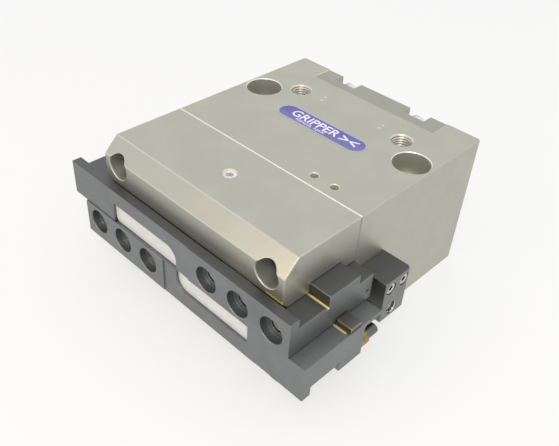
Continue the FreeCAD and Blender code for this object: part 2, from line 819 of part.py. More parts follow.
def build_wedge():
    """Builds the drive wedge with its two slanted slots."""
    footprint = [
        ("-wedge_nose", "wedge_front"),
        ("wedge_nose", "wedge_front"),
        ("wedge_half", "wedge_front + jaw_stroke"),
        ("wedge_half", "wedge_back"),
        ("-wedge_half", "wedge_back"),
        ("-wedge_half", "wedge_front + jaw_stroke"),
    ]
    plate = milled("XY_Plane", footprint, ("-wedge_half_thickness", "wedge_half_thickness"), "edge_break")
    length = "jaw_stroke * sqrt(2) + 2 * slot_half_length"
    tools = []
    for side in BOTH_SIDES:
        middle = ("pin_start + jaw_stroke / 2", "pin_y + jaw_stroke / 2")
        height = f"wedge_thickness + 2 * {OVERCUT}"
        tools.append(turned_block(side, *middle, length, "2 * slot_half_width", height))
    drill = (f"wedge_back - wedge_stud_grip - {OVERCUT}", f"wedge_back + {OVERCUT}")
    tools.append(bar("Y", ("0", "0"), drill, "wedge_stud_radius + thread_gap"))
    node(put(cut(plate, *tools), "0", "0", "mid_z"), "drive_wedge")


# Jaws; the shape is drawn for the right jaw, with heights counted from the plane between the jaws
def window_form(gap, low, high, bottom):
    """The window in a jaw bar, shrunk by a gap; three of its corners are rounded."""
    left = f"window_end - window_length + {gap}"
    right = f"window_end - {gap}"
    top = f"window_height - {gap}"
    depth = (low, high)
    corner_x = f"{right} - window_corner"
    corner_z = f"{top} - window_corner"
    small_x = f"{left} + strip_corner"
    heights = (f"{bottom} + strip_corner", f"{top} - strip_corner")
    wide = block((small_x, corner_x), depth, (bottom, top))
    tall = block((f"{corner_x} - window_corner", right), depth, (bottom, corner_z))
    end = block((left, f"{small_x} + strip_corner"), depth, heights)
    discs = [bar("Y", (small_x, height), depth, "strip_corner") for height in heights]
    disc = bar("Y", (corner_x, corner_z), depth, "window_corner")
    corner = overlap(disc, block((corner_x, right), depth, (corner_z, top)))
    return join(wide, tall, end, corner, *discs)


def switch_notch(end, back, over):
    """The notch in a jaw's long end in which the switch screw stands, with one round corner."""
    width = (end, "-long_end + switch_inset + collar_radius + notch_room")
    low = "ledge_face + notch_corner"
    front = "notch_y + notch_corner"
    return join(
        block(width, ("notch_y", back), (low, over)),
        block(width, (front, back), ("ledge_face", over)),
        bar("X", (front, low), width, "notch_corner"),
    )


def jaw_tools():
    """Everything that is cut out of a jaw bar."""
    ahead = f"bar_front - {OVERCUT}"
    below = f"-{OVERCUT}"
    over = f"bar_height + {OVERCUT}"
    past_tail = f"tail_back + {OVERCUT}"
    past_long_end = f"-long_end - {OVERCUT}"
    tail_end = "-long_end + tail_relief"
    reach = "wedge_half + wedge_end_gap"
    groove_half = "key_width / 2 + groove_gap"
    tools = [
        block((past_long_end, "pad_start"), (ahead, "bar_front + pad_rise"), (below, over)),
        window_form("0", ahead, "bar_front + window_depth", f"-strip_corner - {OVERCUT}"),
        block((past_long_end, tail_end), ("guide_back", past_tail), ("ledge_face", over)),
        block((past_long_end, tail_end), ("guide_back + ledge_reach", past_tail), (below, over)),
        switch_notch(past_long_end, past_tail, over),
        block(
            (f"-({reach}) - jaw_stroke", reach),
            ("wedge_front - jaw_stroke - wedge_end_gap", past_tail),
            (below, "jaw_pocket"),
        ),
        block(
            ("key_inner - 2 * jaw_stroke - groove_gap", f"short_end + {OVERCUT}"),
            (f"key_mid - ({groove_half})", f"key_mid + {groove_half}"),
            (below, "key_rise + groove_gap"),
        ),
        block(
            ("-key_outer - fit_gap", "-key_inner + fit_gap"),
            ("key_mid - key_width / 2 - fit_gap", "key_mid + key_width / 2 + fit_gap"),
            (below, "key_seat"),
        ),
        bar("Z", ("pin_start", "pin_y"), ("0", "neck_height - pin_cap"), "pin_radius + fit_gap"),
        bar(
            "Y",
            ("-long_end + switch_inset", "switch_height"),
            ("notch_y - switch_seat", f"notch_y + {OVERCUT}"),
            "switch_radius + thread_gap",
        ),
        bar(
            "X",
            ("tail_back - end_hole_back", "end_hole_height"),
            ("short_end - end_hole_depth", f"short_end + {OVERCUT}"),
            "end_hole_radius",
        ),
    ]
    for index in range(3):
        spot = (f"finger_start + {index} * finger_pitch", "finger_height")
        tools.append(bar("Y", spot, (ahead, "bar_front + seat_depth"), "seat_radius"))
        sink = ("bar_front", "bar_front + mouth_sink")
        tools.append(taper("Y", spot, sink, "seat_radius + mouth_sink", "seat_radius"))
        thread = (ahead, "bar_front + finger_thread_depth")
        tools.append(bar("Y", spot, thread, "finger_thread_radius"))
    return tools


def build_jaw(name, turn):
    """Builds one jaw with the pieces that ride on it."""
    section = [
        ("bar_front", "jaw_face"),
        ("bar_front", "bar_height"),
        ("bar_back", "bar_height"),
        ("bar_back", "neck_height"),
        ("guide_front - undercut_width", "neck_height"),
        ("guide_front - undercut_width", "neck_height - undercut_depth"),
        ("guide_front", "neck_height - undercut_depth"),
        ("guide_front", "guide_height"),
        ("guide_back", "guide_height"),
        ("guide_back", "neck_height"),
        ("tail_back", "neck_height"),
        ("tail_back", "jaw_face"),
    ]
    blank = milled("YZ_Plane", section, ("-long_end", "short_end"), "edge_break")
    strip_front = "bar_front + strip_recess"
    strip = window_form("strip_gap", strip_front, "bar_front + window_depth", "jaw_face")
    pin_low = "-wedge_half_thickness + pin_cap"
    pin = bar("Z", ("pin_start", "pin_y"), (pin_low, "neck_height - pin_cap"), "pin_radius")
    block_height = "wedge_thickness - 2 * block_room"
    slide = turned_block("", "pin_start", "pin_y", "block_length", "block_width", block_height)
    bore = bar("Z", ("pin_start", "pin_y"), ("-wedge_thickness", "wedge_thickness"), "pin_radius + fit_gap")
    key = block(
        ("-key_outer", "-key_inner"),
        ("key_mid - key_width / 2", "key_mid + key_width / 2"),
        ("-key_rise", "key_seat"),
    )
    switch_spot = ("-long_end + switch_inset", "switch_height")
    switch_span = ("notch_y - switch_seat", "guide_back + switch_reach")
    collar_span = ("notch_y", "notch_y + collar_thickness")
    collar = ring("Y", switch_spot, collar_span, "collar_radius", "switch_radius + fit_gap")
    pieces = {
        f"{name}_jaw": cut(blank, *jaw_tools()),
        f"{name}_jaw_strip": strip,
        f"{name}_drive_pin": pin,
        f"{name}_slide_block": cut(slide, bore),
        f"{name}_stop_key": key,
        f"{name}_switch_screw": set_screw("Y", switch_spot, switch_span, "switch_radius"),
        f"{name}_switch_collar": collar,
    }
    for label, piece in pieces.items():
        carrier = group([piece])
        node(put(carrier, "0", "0", "mid_z", turn), label)


# Sensor bracket on the right side
def build_sensor_bracket():
    """Builds the clamp block for a round proximity switch, with its screws."""
    footprint = [
        ("side_x", "bracket_y"),
        ("bracket_outer", "bracket_y"),
        ("bracket_outer", "bracket_end - bracket_corner"),
        ("bracket_outer - bracket_corner", "bracket_end"),
        ("side_x", "bracket_end"),
    ]
    blank = milled("XY_Plane", footprint, ("bracket_lift", "bracket_top"), "edge_break")
    past_face = f"bracket_outer + {OVERCUT}"
    sensor_span = (f"bracket_y - {OVERCUT}", f"bracket_end + {OVERCUT}")
    tools = [bar("Y", ("sensor_x", "sensor_z"), sensor_span, "sensor_radius")]
    clamp_spot = ("clamp_y", "sensor_z")
    tools.append(bar("X", clamp_spot, ("sensor_x", past_face), "clamp_radius + thread_gap"))
    screws = []
    for sign in BOTH_SIDES:
        spot = (f"bracket_mid + {sign}1 * bracket_screw_pitch / 2", "bracket_top - bracket_screw_drop")
        through = (f"side_x - {OVERCUT}", past_face)
        tools.append(bar("X", spot, through, "bracket_screw_radius + screw_clearance"))
        tools.append(bar("X", spot, ("bracket_seat", past_face), "bracket_head_radius + bracket_head_room"))
        screws.append(
            cap_screw(
                "X",
                spot,
                "bracket_seat",
                "+",
                "bracket_screw_radius",
                "bracket_head_radius",
                "bracket_head_height",
                "bracket_seat - side_x + bracket_screw_grip",
            )
        )
    node(cut(blank, *tools), "sensor_bracket")
    node(group(screws), "sensor_bracket_screws")
    span = ("sensor_x + sensor_radius + slide_gap", "bracket_outer - clamp_depth")
    node(set_screw("X", clamp_spot, span, "clamp_radius"), "sensor_clamp_screw")


def check_all():
    """Stops if any object failed or any sub-part is not a sound solid."""
    failed = [obj.Name for obj in doc.Objects if "Invalid" in obj.State or "Error" in obj.State]
    if failed:
        raise RuntimeError("failed objects: " + ", ".join(failed))
    for piece in nodes:
        shape = piece.Shape
        if shape.isNull() or not shape.isValid() or not shape.Solids:
            raise RuntimeError("unsound sub-part: " + piece.Label)


def write_all():
    """Writes each sub-part to its own file."""
    os.makedirs("parts", exist_ok=True)
    for piece in nodes:
        piece.Shape.exportStep(f"parts/{piece.Label}.step")


fill_sheet()
build_housing()
build_top_fittings()
build_rails()
build_rear_cover()
build_drive()
build_jaw("right", NO_TURN)
build_jaw("left", HALF_TURN)
build_sensor_bracket()
doc.recompute()
check_all()
write_all()
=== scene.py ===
"""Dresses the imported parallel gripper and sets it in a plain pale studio."""

import logging
import math
from dataclasses import dataclass, replace
from enum import Enum
from typing import Callable, Optional, Sequence

import bmesh
import bpy
from mathutils import Matrix, Vector


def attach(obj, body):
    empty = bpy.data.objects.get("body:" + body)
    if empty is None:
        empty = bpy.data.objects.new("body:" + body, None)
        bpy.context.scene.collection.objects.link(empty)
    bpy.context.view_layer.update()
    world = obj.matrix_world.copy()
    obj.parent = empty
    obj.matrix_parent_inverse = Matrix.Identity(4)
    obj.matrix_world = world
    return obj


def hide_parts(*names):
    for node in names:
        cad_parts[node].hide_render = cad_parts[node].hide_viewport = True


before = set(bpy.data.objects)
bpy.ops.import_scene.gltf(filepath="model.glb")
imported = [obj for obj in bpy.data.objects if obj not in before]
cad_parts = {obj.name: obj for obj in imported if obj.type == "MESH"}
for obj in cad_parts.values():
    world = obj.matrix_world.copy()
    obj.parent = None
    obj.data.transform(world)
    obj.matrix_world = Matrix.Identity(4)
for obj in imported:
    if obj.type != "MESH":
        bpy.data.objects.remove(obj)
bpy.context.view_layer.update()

MM = 0.001
# Points closer than MERGE become one, and those within NEAR of a level count as on it
MERGE = 0.001 * MM
NEAR = 0.01 * MM
# Edges sharper than these stay sharp
SHARP_ANGLE = math.radians(35)
SHARP_THREAD_ANGLE = math.radians(25)
# The height of the plane between the two jaws
JAW_PLANE = 35.6 * MM
Colour = tuple[float, float, float]
Spot = tuple[float, float, float]
Pair = tuple[float, float]
Piece = bpy.types.Object
Socket = bpy.types.NodeSocket
log = logging.getLogger("gripper")


class Side(Enum):
    """The two jaws, as the sign of the side that holds each one's finger holes."""

    RIGHT = 1
    LEFT = -1

    @property
    def label(self) -> str:
        """The side's name as the nodes spell it."""
        return self.name.lower()


class Facing(Enum):
    """The way a piece looks, as the turn that takes +Z there."""

    UP = (0.0, 0.0, 0.0)
    FRONT = (math.pi / 2, 0.0, 0.0)
    BACK = (-math.pi / 2, 0.0, 0.0)
    RIGHT = (0.0, math.pi / 2, 0.0)


class Grain(Enum):
    """The way the fine marks of a finish run, as a stretch of its pattern."""

    EVEN = (1.0, 1.0, 1.0)
    ALONG_X = (0.05, 1.0, 1.0)
    ALONG_Y = (1.0, 0.05, 1.0)


# Finishes

# Where the values of a noise lie, and what they become
FULL = (0.0, 1.0)
WIDE_NOISE = (0.3, 0.7)
NARROW_NOISE = (0.35, 0.65)
SCUFF_NOISE = (0.35, 0.6)
SCUFF_SHARE = (0.45, 1.0)
GRAIN_SHADE = (0.0, 0.16)
# Octaves of finer noise
FINE_DETAIL = 3.0
SLOW_DETAIL = 4.0
SCUFF_DETAIL = 5.0
# Marks per metre
SCUFF_SCALE = 420.0
PLASTIC_DRIFT_SCALE = 90.0
# How dark the grain's valleys are, and how much smoother the edges are where they are lightened as wear and
# as a painted highlight
GRAIN_DARK = 0.55
EDGE_POLISH = 0.1


@dataclass(frozen=True)
class Zone:
    """A box in which a finish differs, for all four quarters of the piece at once.

    Its corners, in millimetres, count X from the middle and the height from the plane between the jaws.
    One that is right_only leaves out the left quarters, and one without a colour keeps the tone.
    """

    low: Spot
    high: Spot
    colour: Optional[Colour]
    roughness: float
    metallic: float = 1.0
    right_only: bool = False


class Recipe:
    """The node tree of one material, written step by step."""

    BEVEL_SAMPLES = 6
    # The cosine between the flat and the rounded normal, away from an edge and on it
    EDGE_COSINES = (1.0, 0.9)

    def __init__(self, name: str) -> None:
        """Starts a material with a bare shader.

        Args:
            name: The material's name.
        """
        self.material = bpy.data.materials.new(name)
        self.material.use_nodes = True
        self.tree = self.material.node_tree
        self.shader = self.tree.nodes["Principled BSDF"]
        self.place = self.add("ShaderNodeTexCoord").outputs["Object"]

    def add(self, kind: str, **settings: object) -> bpy.types.Node:
        """Adds a node.

        Args:
            kind: The node's type.
            settings: Its properties.

        Returns:
            The new node.
        """
        step = self.tree.nodes.new(kind)
        for key, setting in settings.items():
            setattr(step, key, setting)
        return step

    def feed(self, target: Socket, source: object) -> None:
        """Links a socket, or sets its value.

        Args:
            target: The input socket.
            source: An output socket, or a plain value.
        """
        if isinstance(source, Socket):
            self.tree.links.new(source, target)
        else:
            target.default_value = source

    def noise(self, scale: float, detail: float, grain: Grain = Grain.EVEN) -> Socket:
        """Adds a noise pattern on the piece's own place.

        Args:
            scale: Marks per metre.
            detail: Octaves of finer noise.
            grain: The way the marks run.

        Returns:
            The pattern's value.
        """
        stretch = self.add("ShaderNodeMapping")
        self.feed(stretch.inputs["Vector"], self.place)
        stretch.inputs["Scale"].default_value = grain.value
        step = self.add("ShaderNodeTexNoise")
        self.feed(step.inputs["Vector"], stretch.outputs["Vector"])
        step.inputs["Scale"].default_value = scale
        step.inputs["Detail"].default_value = detail
        return step.outputs["Fac"]

    def span(self, source: Socket, reach: Pair, target: Pair) -> Socket:
        """Maps one range of values to another.

        Args:
            source: The value to map.
            reach: Its low and high ends.
            target: The values they become.

        Returns:
            The mapped value.
        """
        step = self.add("ShaderNodeMapRange")
        self.feed(step.inputs["Value"], source)
        step.inputs["From Min"].default_value, step.inputs["From Max"].default_value = reach
        step.inputs["To Min"].default_value, step.inputs["To Max"].default_value = target
        return step.outputs["Result"]

    def math(self, operation: str, first: object, second: object = 0.0, clamp: bool = True) -> Socket:
        """Adds a sum, product or other step of arithmetic.

        Args:
            operation: The operation's name.
            first, second: Sockets or numbers.
            clamp: Whether the result stays between 0 and 1.

        Returns:
            The result.
        """
        step = self.add("ShaderNodeMath", operation=operation, use_clamp=clamp)
        self.feed(step.inputs[0], first)
        self.feed(step.inputs[1], second)
        return step.outputs["Value"]

    def tint(self, share: object, first: object, second: object) -> Socket:
        """Mixes two colours.

        Args:
            share: How much of the second one shows.
            first, second: Sockets or colours.

        Returns:
            The mixed colour.
        """
        step = self.add("ShaderNodeMixRGB")
        self.feed(step.inputs["Fac"], share)
        for key, source in (("Color1", first), ("Color2", second)):
            plain = isinstance(source, tuple)
            self.feed(step.inputs[key], (*source, 1.0) if plain else source)
        return step.outputs["Color"]

    def blend(self, share: object, first: object, second: object) -> Socket:
        """Mixes two numbers.

        Args:
            share: How much of the second one counts.
            first, second: Sockets or numbers.

        Returns:
            The mixed number.
        """
        kept = self.math("MULTIPLY", first, self.math("SUBTRACT", 1.0, share))
        return self.math("ADD", kept, self.math("MULTIPLY", second, share))

    def inside(self, zone: Zone) -> Socket:
        """Finds the part of the piece that lies in a zone.

        Args:
            zone: The zone.

        Returns:
            1 inside and 0 outside.
        """
        axes = self.add("ShaderNodeSeparateXYZ")
        self.feed(axes.inputs["Vector"], self.place)
        across = axes.outputs["X"]
        if not zone.right_only:
            across = self.math("ABSOLUTE", across)
        rise = self.math("SUBTRACT", axes.outputs["Z"], JAW_PLANE, clamp=False)
        height = self.math("ABSOLUTE", rise)
        share = 1.0
        for spot, low, high in zip((across, axes.outputs["Y"], height), zone.low, zone.high):
            share = self.math("MULTIPLY", share, self.math("GREATER_THAN", spot, low * MM))
            share = self.math("MULTIPLY", share, self.math("LESS_THAN", spot, high * MM))
        return share

    def edges(self, radius: float) -> tuple[Socket, Socket]:
        """Finds the edges of the piece.

        Args:
            radius: How far an edge reaches.

        Returns:
            A mask of the edges, and the normal that rounds them.
        """
        rounded = self.add("ShaderNodeBevel", samples=self.BEVEL_SAMPLES)
        rounded.inputs["Radius"].default_value = radius
        flat = self.add("ShaderNodeNewGeometry")
        dot = self.add("ShaderNodeVectorMath", operation="DOT_PRODUCT")
        self.feed(dot.inputs[0], rounded.outputs["Normal"])
        self.feed(dot.inputs[1], flat.outputs["True Normal"])
        return self.span(dot.outputs["Value"], self.EDGE_COSINES, FULL), rounded.outputs["Normal"]

    def emboss(self, height: Socket, depth: float, normal: Optional[Socket] = None) -> None:
        """Raises the surface by a pattern.

        Args:
            height: The pattern.
            depth: How far it rises.
            normal: The normal that it starts from, if not the flat one.
        """
        bump = self.add("ShaderNodeBump")
        bump.inputs["Distance"].default_value = depth
        self.feed(bump.inputs["Height"], height)
        if normal is not None:
            self.feed(bump.inputs["Normal"], normal)
        self.feed(self.shader.inputs["Normal"], bump.outputs["Normal"])


@dataclass(frozen=True)
class Finish:
    """A finish, which becomes one material however often it is used."""

    name: str

    def material(self) -> bpy.types.Material:
        """Finds the finish's material, or writes it.

        Returns:
            The material.
        """
        title = f"{self.name}_finish"
        ready = bpy.data.materials.get(title)
        if ready:
            return ready
        recipe = Recipe(title)
        self.write(recipe)
        return recipe.material

    def write(self, recipe: Recipe) -> None:
        """Writes the finish's nodes.

        Args:
            recipe: The bare material.
        """
        raise NotImplementedError


@dataclass(frozen=True)
class Metal(Finish):
    """A metal finish with fine grain, slow drift of tone, and edges lightened as wear and as a painted
    highlight at once.
    """

    colour: Colour
    drift: Colour
    edge: Colour
    roughness: Pair
    edge_share: float = 0.7
    edge_radius: float = 0.45 * MM
    grain: Grain = Grain.EVEN
    grain_scale: float = 2600.0
    grain_depth: float = 0.003 * MM
    drift_scale: float = 55.0
    metallic: float = 1.0
    zones: tuple[Zone, ...] = ()

    def write(self, recipe: Recipe) -> None:
        """Writes the finish's nodes.

        Args:
            recipe: The bare material.
        """
        fine = recipe.noise(self.grain_scale, FINE_DETAIL, self.grain)
        slow = recipe.noise(self.drift_scale, SLOW_DETAIL)
        # The edge mask lightens and smooths the edges, as wear and as a painted highlight at once
        wear_and_glint, rounded = recipe.edges(self.edge_radius)
        scuffs = recipe.span(recipe.noise(SCUFF_SCALE, SCUFF_DETAIL), SCUFF_NOISE, SCUFF_SHARE)
        wear_and_glint = recipe.math("MULTIPLY", wear_and_glint, scuffs)
        tone = recipe.tint(recipe.span(slow, NARROW_NOISE, FULL), self.colour, self.drift)
        shade = recipe.span(fine, WIDE_NOISE, GRAIN_SHADE)
        tone = recipe.tint(shade, tone, tuple(GRAIN_DARK * part for part in self.drift))
        tone = recipe.tint(recipe.math("MULTIPLY", wear_and_glint, self.edge_share), tone, self.edge)
        gloss = recipe.span(fine, WIDE_NOISE, self.roughness)
        gloss = recipe.math("SUBTRACT", gloss, recipe.math("MULTIPLY", wear_and_glint, EDGE_POLISH))
        metallic = self.metallic
        for zone in self.zones:
            share = recipe.inside(zone)
            if zone.colour:
                tone = recipe.tint(share, tone, zone.colour)
            gloss = recipe.blend(share, gloss, zone.roughness)
            if zone.metallic != self.metallic:
                metallic = recipe.blend(share, metallic, zone.metallic)
        recipe.feed(recipe.shader.inputs["Base Color"], tone)
        recipe.feed(recipe.shader.inputs["Roughness"], gloss)
        recipe.feed(recipe.shader.inputs["Metallic"], metallic)
        recipe.emboss(fine, self.grain_depth, rounded)


@dataclass(frozen=True)
class Plastic(Finish):
    """A plain moulded or printed finish with a slight unevenness."""

    colour: Colour
    drift: Colour
    roughness: Pair
    coat: float = 0.0
    grain_scale: float = 1500.0
    grain_depth: float = 0.004 * MM

    def write(self, recipe: Recipe) -> None:
        """Writes the finish's nodes.

        Args:
            recipe: The bare material.
        """
        recipe.feed(recipe.shader.inputs["Coat Weight"], self.coat)
        fine = recipe.noise(self.grain_scale, FINE_DETAIL)
        slow = recipe.noise(PLASTIC_DRIFT_SCALE, FINE_DETAIL)
        tone = recipe.tint(recipe.span(slow, NARROW_NOISE, FULL), self.colour, self.drift)
        recipe.feed(recipe.shader.inputs["Base Color"], tone)
        recipe.feed(recipe.shader.inputs["Roughness"], recipe.span(fine, WIDE_NOISE, self.roughness))
        recipe.emboss(fine, self.grain_depth)


# Straw tints for painted glints along edges
STRAW_GLINT = (0.74, 0.5, 0.08)
PALE_STRAW_GLINT = (0.8, 0.64, 0.26)
# A pale colour for painted highlights on edges, rims and lit walls
CREAM_HIGHLIGHT = (0.93, 0.89, 0.76)
BORE_GREY = (0.54, 0.54, 0.48)
# Turned metal, lightened further as a painted highlight on lit walls and rims
TURNED_LIT_GREY = (0.66, 0.64, 0.55)
# A lighter coat tone for painted highlights along edges
EDGE_HIGHLIGHT_GREY = (0.62, 0.61, 0.52)
SEAM_GREY = (0.4, 0.4, 0.345)
# A painted highlight along the joint's edges on top
SEAM_HIGHLIGHT = (0.86, 0.82, 0.69)
# A dark grey for painted shade on faces that look up and in sockets
SHADE_GREY = (0.142, 0.146, 0.146)
# The joint between rails and housing, on the sides of the block
SIDE_SEAM = Zone((55.4, -23.0, 0.0), (56.1, -21.8, 35.0), SEAM_GREY, 0.5)
RAIL_COAT = Metal(
    "rail_coat",
    colour=(0.52, 0.52, 0.45),
    drift=(0.49, 0.492, 0.432),
    edge=CREAM_HIGHLIGHT,
    roughness=(0.42, 0.5),
    edge_share=0.9,
    edge_radius=0.4 * MM,
    zones=(
        # The front chamfer
        Zone((0.0, -65.3, 28.6), (56.1, -58.5, 35.6), None, 0.32),
        # The screws' counterbores, in three steps under the chamfer
        Zone((40.2, -65.0, 18.6), (53.2, -51.0, 28.4), BORE_GREY, 0.55),
        Zone((40.2, -63.0, 28.3), (53.2, -51.0, 30.2), BORE_GREY, 0.55),
        Zone((40.2, -61.3, 30.1), (53.2, -51.0, 31.8), BORE_GREY, 0.55),
        # The chamfer's two edges, lightened as a painted highlight
        Zone((0.0, -58.7, 35.2), (56.1, -58.1, 35.7), EDGE_HIGHLIGHT_GREY, 0.3),
        Zone((0.0, -65.5, 28.4), (56.1, -64.9, 28.9), EDGE_HIGHLIGHT_GREY, 0.3),
        # The front face where it nears the jaw, in two steps, and at its right end a straw line that is a
        # painted glint on the lip's edge
        Zone((0.0, -65.6, 17.6), (56.1, -65.2, 19.2), None, 0.5, 0.9),
        Zone((0.0, -65.6, 15.8), (56.1, -65.2, 17.6), None, 0.5, 0.75),
        Zone((47.0, -65.6, 15.8), (56.1, -65.2, 17.2), STRAW_GLINT, 0.5, 0.0, True),
        SIDE_SEAM,
        # The grease screw's hole, lightened as a painted highlight on its wall
        Zone((0.0, -45.2, 33.0), (4.2, -37.4, 35.58), CREAM_HIGHLIGHT, 0.4, 0.3),
    ),
)
HOUSING_COAT = replace(
    RAIL_COAT,
    name="housing_coat",
    edge_share=0.7,
    edge_radius=0.25 * MM,
    zones=(
        # The mounting holes
        Zone((36.9, 15.1, 0.0), (55.1, 33.3, 35.3), BORE_GREY, 0.62),
        SIDE_SEAM,
        # The joint with the rails, on the top face, lightened as a painted highlight along its edges
        Zone((0.0, -22.5, 35.2), (55.8, -21.95, 35.7), SEAM_HIGHLIGHT, 0.45, 0.5),
        # The edges beside the rear cover, lightened as a painted highlight
        Zone((37.3, 52.5, 34.9), (37.6, 65.5, 35.58), CREAM_HIGHLIGHT, 0.45, 0.2),
        # The mouths of the ports and of the mounting holes, and the purge holes, lightened as painted
        # highlights on their far rims and walls
        Zone((25.9, 30.5, 34.85), (37.5, 42.1, 35.58), TURNED_LIT_GREY, 0.3),
        Zone((36.9, 15.1, 35.28), (55.1, 33.3, 35.59), CREAM_HIGHLIGHT, 0.35),
        Zone((21.9, -17.5, 28.0), (37.8, -13.1, 35.58), TURNED_LIT_GREY, 0.45, 0.6),
    ),
)
COVER_COAT = Metal(
    "cover_coat",
    colour=(0.39, 0.395, 0.34),
    drift=(0.365, 0.372, 0.322),
    edge=(0.56, 0.55, 0.47),
    roughness=(0.3, 0.38),
    edge_radius=0.2 * MM,
)
JAW_STEEL = Metal(
    "jaw_steel",
    colour=(0.258, 0.266, 0.27),
    drift=(0.225, 0.232, 0.234),
    edge=(0.4, 0.39, 0.36),
    roughness=(0.44, 0.54),
    edge_share=0.4,
    edge_radius=0.25 * MM,
    grain=Grain.ALONG_X,
    grain_scale=1900.0,
    zones=(
        # The faces that look up, darkened as painted shade: the neck, the bar with the guide, and the tail
        Zone((0.0, -66.9, 12.7), (80.0, -49.0, 13.1), SHADE_GREY, 0.5),
        Zone((0.0, -72.1, 17.5), (80.0, -25.0, 17.8), SHADE_GREY, 0.5),
        Zone((0.0, -49.0, 12.7), (66.2, -22.0, 13.1), SHADE_GREY, 0.5),
        # A painted highlight along a length of the bar's back edge
        Zone((24.0, -67.2, 17.4), (41.0, -66.75, 17.8), CREAM_HIGHLIGHT, 0.4, 0.6, True),
        # The straw lines beside the key and under the guide, which are painted glints
        Zone((66.6, -46.5, 0.0), (73.0, -45.5, 0.3), PALE_STRAW_GLINT, 0.5, 0.5, True),
        Zone((0.0, -51.0, 11.5), (80.0, -50.1, 12.2), PALE_STRAW_GLINT, 0.4, 0.5),
    ),
)
# The key's edges take a straw tint, a painted glint
KEY_STEEL = Metal(
    "key_steel",
    colour=(0.18, 0.18, 0.176),
    drift=(0.155, 0.157, 0.157),
    edge=STRAW_GLINT,
    roughness=(0.36, 0.48),
    edge_share=0.9,
    edge_radius=0.7 * MM,
    grain=Grain.ALONG_Y,
)
STRIP_SHEET = Metal(
    "strip_sheet",
    colour=(0.74, 0.73, 0.71),
    drift=(0.68, 0.672, 0.652),
    edge=(0.74, 0.73, 0.71),
    roughness=(0.42, 0.52),
    edge_radius=0.2 * MM,
    grain=Grain.ALONG_X,
    drift_scale=260.0,
    metallic=0.15,
)
BLACK_OXIDE = Metal(
    "black_oxide",
    colour=(0.075, 0.076, 0.08),
    drift=(0.055, 0.055, 0.058),
    edge=(0.42, 0.41, 0.4),
    roughness=(0.3, 0.42),
    edge_share=0.6,
    edge_radius=0.25 * MM,
)
GREY_OXIDE = replace(BLACK_OXIDE, name="grey_oxide", colour=(0.2, 0.2, 0.196), drift=(0.13, 0.13, 0.128))
# Lighter and less metallic than the grey oxide: painted light that offsets the shade and dark reflection in
# the clamp screw's hole
PALE_OXIDE = replace(
    GREY_OXIDE, name="pale_oxide", colour=(0.4, 0.4, 0.39), drift=(0.32, 0.32, 0.31), metallic=0.2
)
# Oxide whose head rims are lightened as wear and as a painted highlight at once
WORN_GLINT_OXIDE = Metal(
    "worn_glint_oxide",
    colour=(0.46, 0.46, 0.45),
    drift=(0.38, 0.38, 0.37),
    edge=(0.95, 0.94, 0.91),
    roughness=(0.28, 0.4),
    edge_share=1.0,
    edge_radius=0.5 * MM,
    metallic=0.35,
    # The sockets and sides of the bracket's screws, darkened as painted shade
    zones=(Zone((60.0, -20.0, -1.0), (70.45, -1.0, 6.0), SHADE_GREY, 0.4),),
)
BRIGHT_STEEL = Metal(
    "bright_steel",
    colour=(0.7, 0.7, 0.69),
    drift=(0.62, 0.62, 0.62),
    edge=(0.95, 0.94, 0.92),
    roughness=(0.18, 0.28),
    edge_radius=0.2 * MM,
)
PALE_STEEL = replace(BRIGHT_STEEL, name="pale_steel", colour=(0.88, 0.87, 0.82), metallic=0.6)
# The thread's crests take the pale highlight colour, a painted highlight
CUT_THREAD = Metal(
    "cut_thread",
    colour=(0.56, 0.54, 0.47),
    drift=(0.48, 0.46, 0.4),
    edge=CREAM_HIGHLIGHT,
    roughness=(0.34, 0.44),
    edge_radius=0.06 * MM,
    metallic=0.8,
)
DARK_THREAD = Metal(
    "dark_thread",
    colour=(0.21, 0.215, 0.21),
    drift=(0.17, 0.175, 0.17),
    edge=(0.44, 0.43, 0.4),
    roughness=(0.3, 0.4),
    edge_share=0.5,
    edge_radius=0.06 * MM,
)
TURNED_BRASS = Metal(
    "turned_brass",
    colour=(0.46, 0.33, 0.14),
    drift=(0.17, 0.125, 0.06),
    edge=(0.72, 0.58, 0.3),
    roughness=(0.26, 0.38),
    edge_radius=0.25 * MM,
    drift_scale=420.0,
)
PISTON_ALLOY = Metal(
    "piston_alloy",
    colour=(0.7, 0.71, 0.72),
    drift=(0.64, 0.65, 0.66),
    edge=(0.9, 0.9, 0.9),
    roughness=(0.24, 0.36),
)
BRACKET_BLACK = Metal(
    "bracket_black",
    colour=(0.24, 0.243, 0.236),
    drift=(0.205, 0.208, 0.203),
    edge=(0.4, 0.4, 0.39),
    roughness=(0.34, 0.46),
    edge_share=0.5,
    edge_radius=0.3 * MM,
    # The bracket's top, darkened as painted shade
    zones=(Zone((55.0, -20.0, 6.8), (72.0, -1.0, 7.0), SHADE_GREY, 0.45),),
)
SEAL_RUBBER = Plastic("seal_rubber", (0.03, 0.03, 0.031), (0.045, 0.045, 0.046), (0.55, 0.75))
GUIDE_PLASTIC = Plastic("guide_plastic", (0.7, 0.64, 0.5), (0.62, 0.56, 0.44), (0.4, 0.55))
LABEL_FILM = Plastic("label_film", (0.094, 0.088, 0.335), (0.108, 0.1, 0.362), (0.3, 0.4), coat=0.15)
LABEL_PRINT = Plastic("label_print", (0.78, 0.77, 0.86), (0.72, 0.71, 0.82), (0.35, 0.45), coat=0.15)
LABEL_RIM = Plastic("label_rim", (0.46, 0.46, 0.6), (0.42, 0.42, 0.56), (0.3, 0.4), coat=0.15)


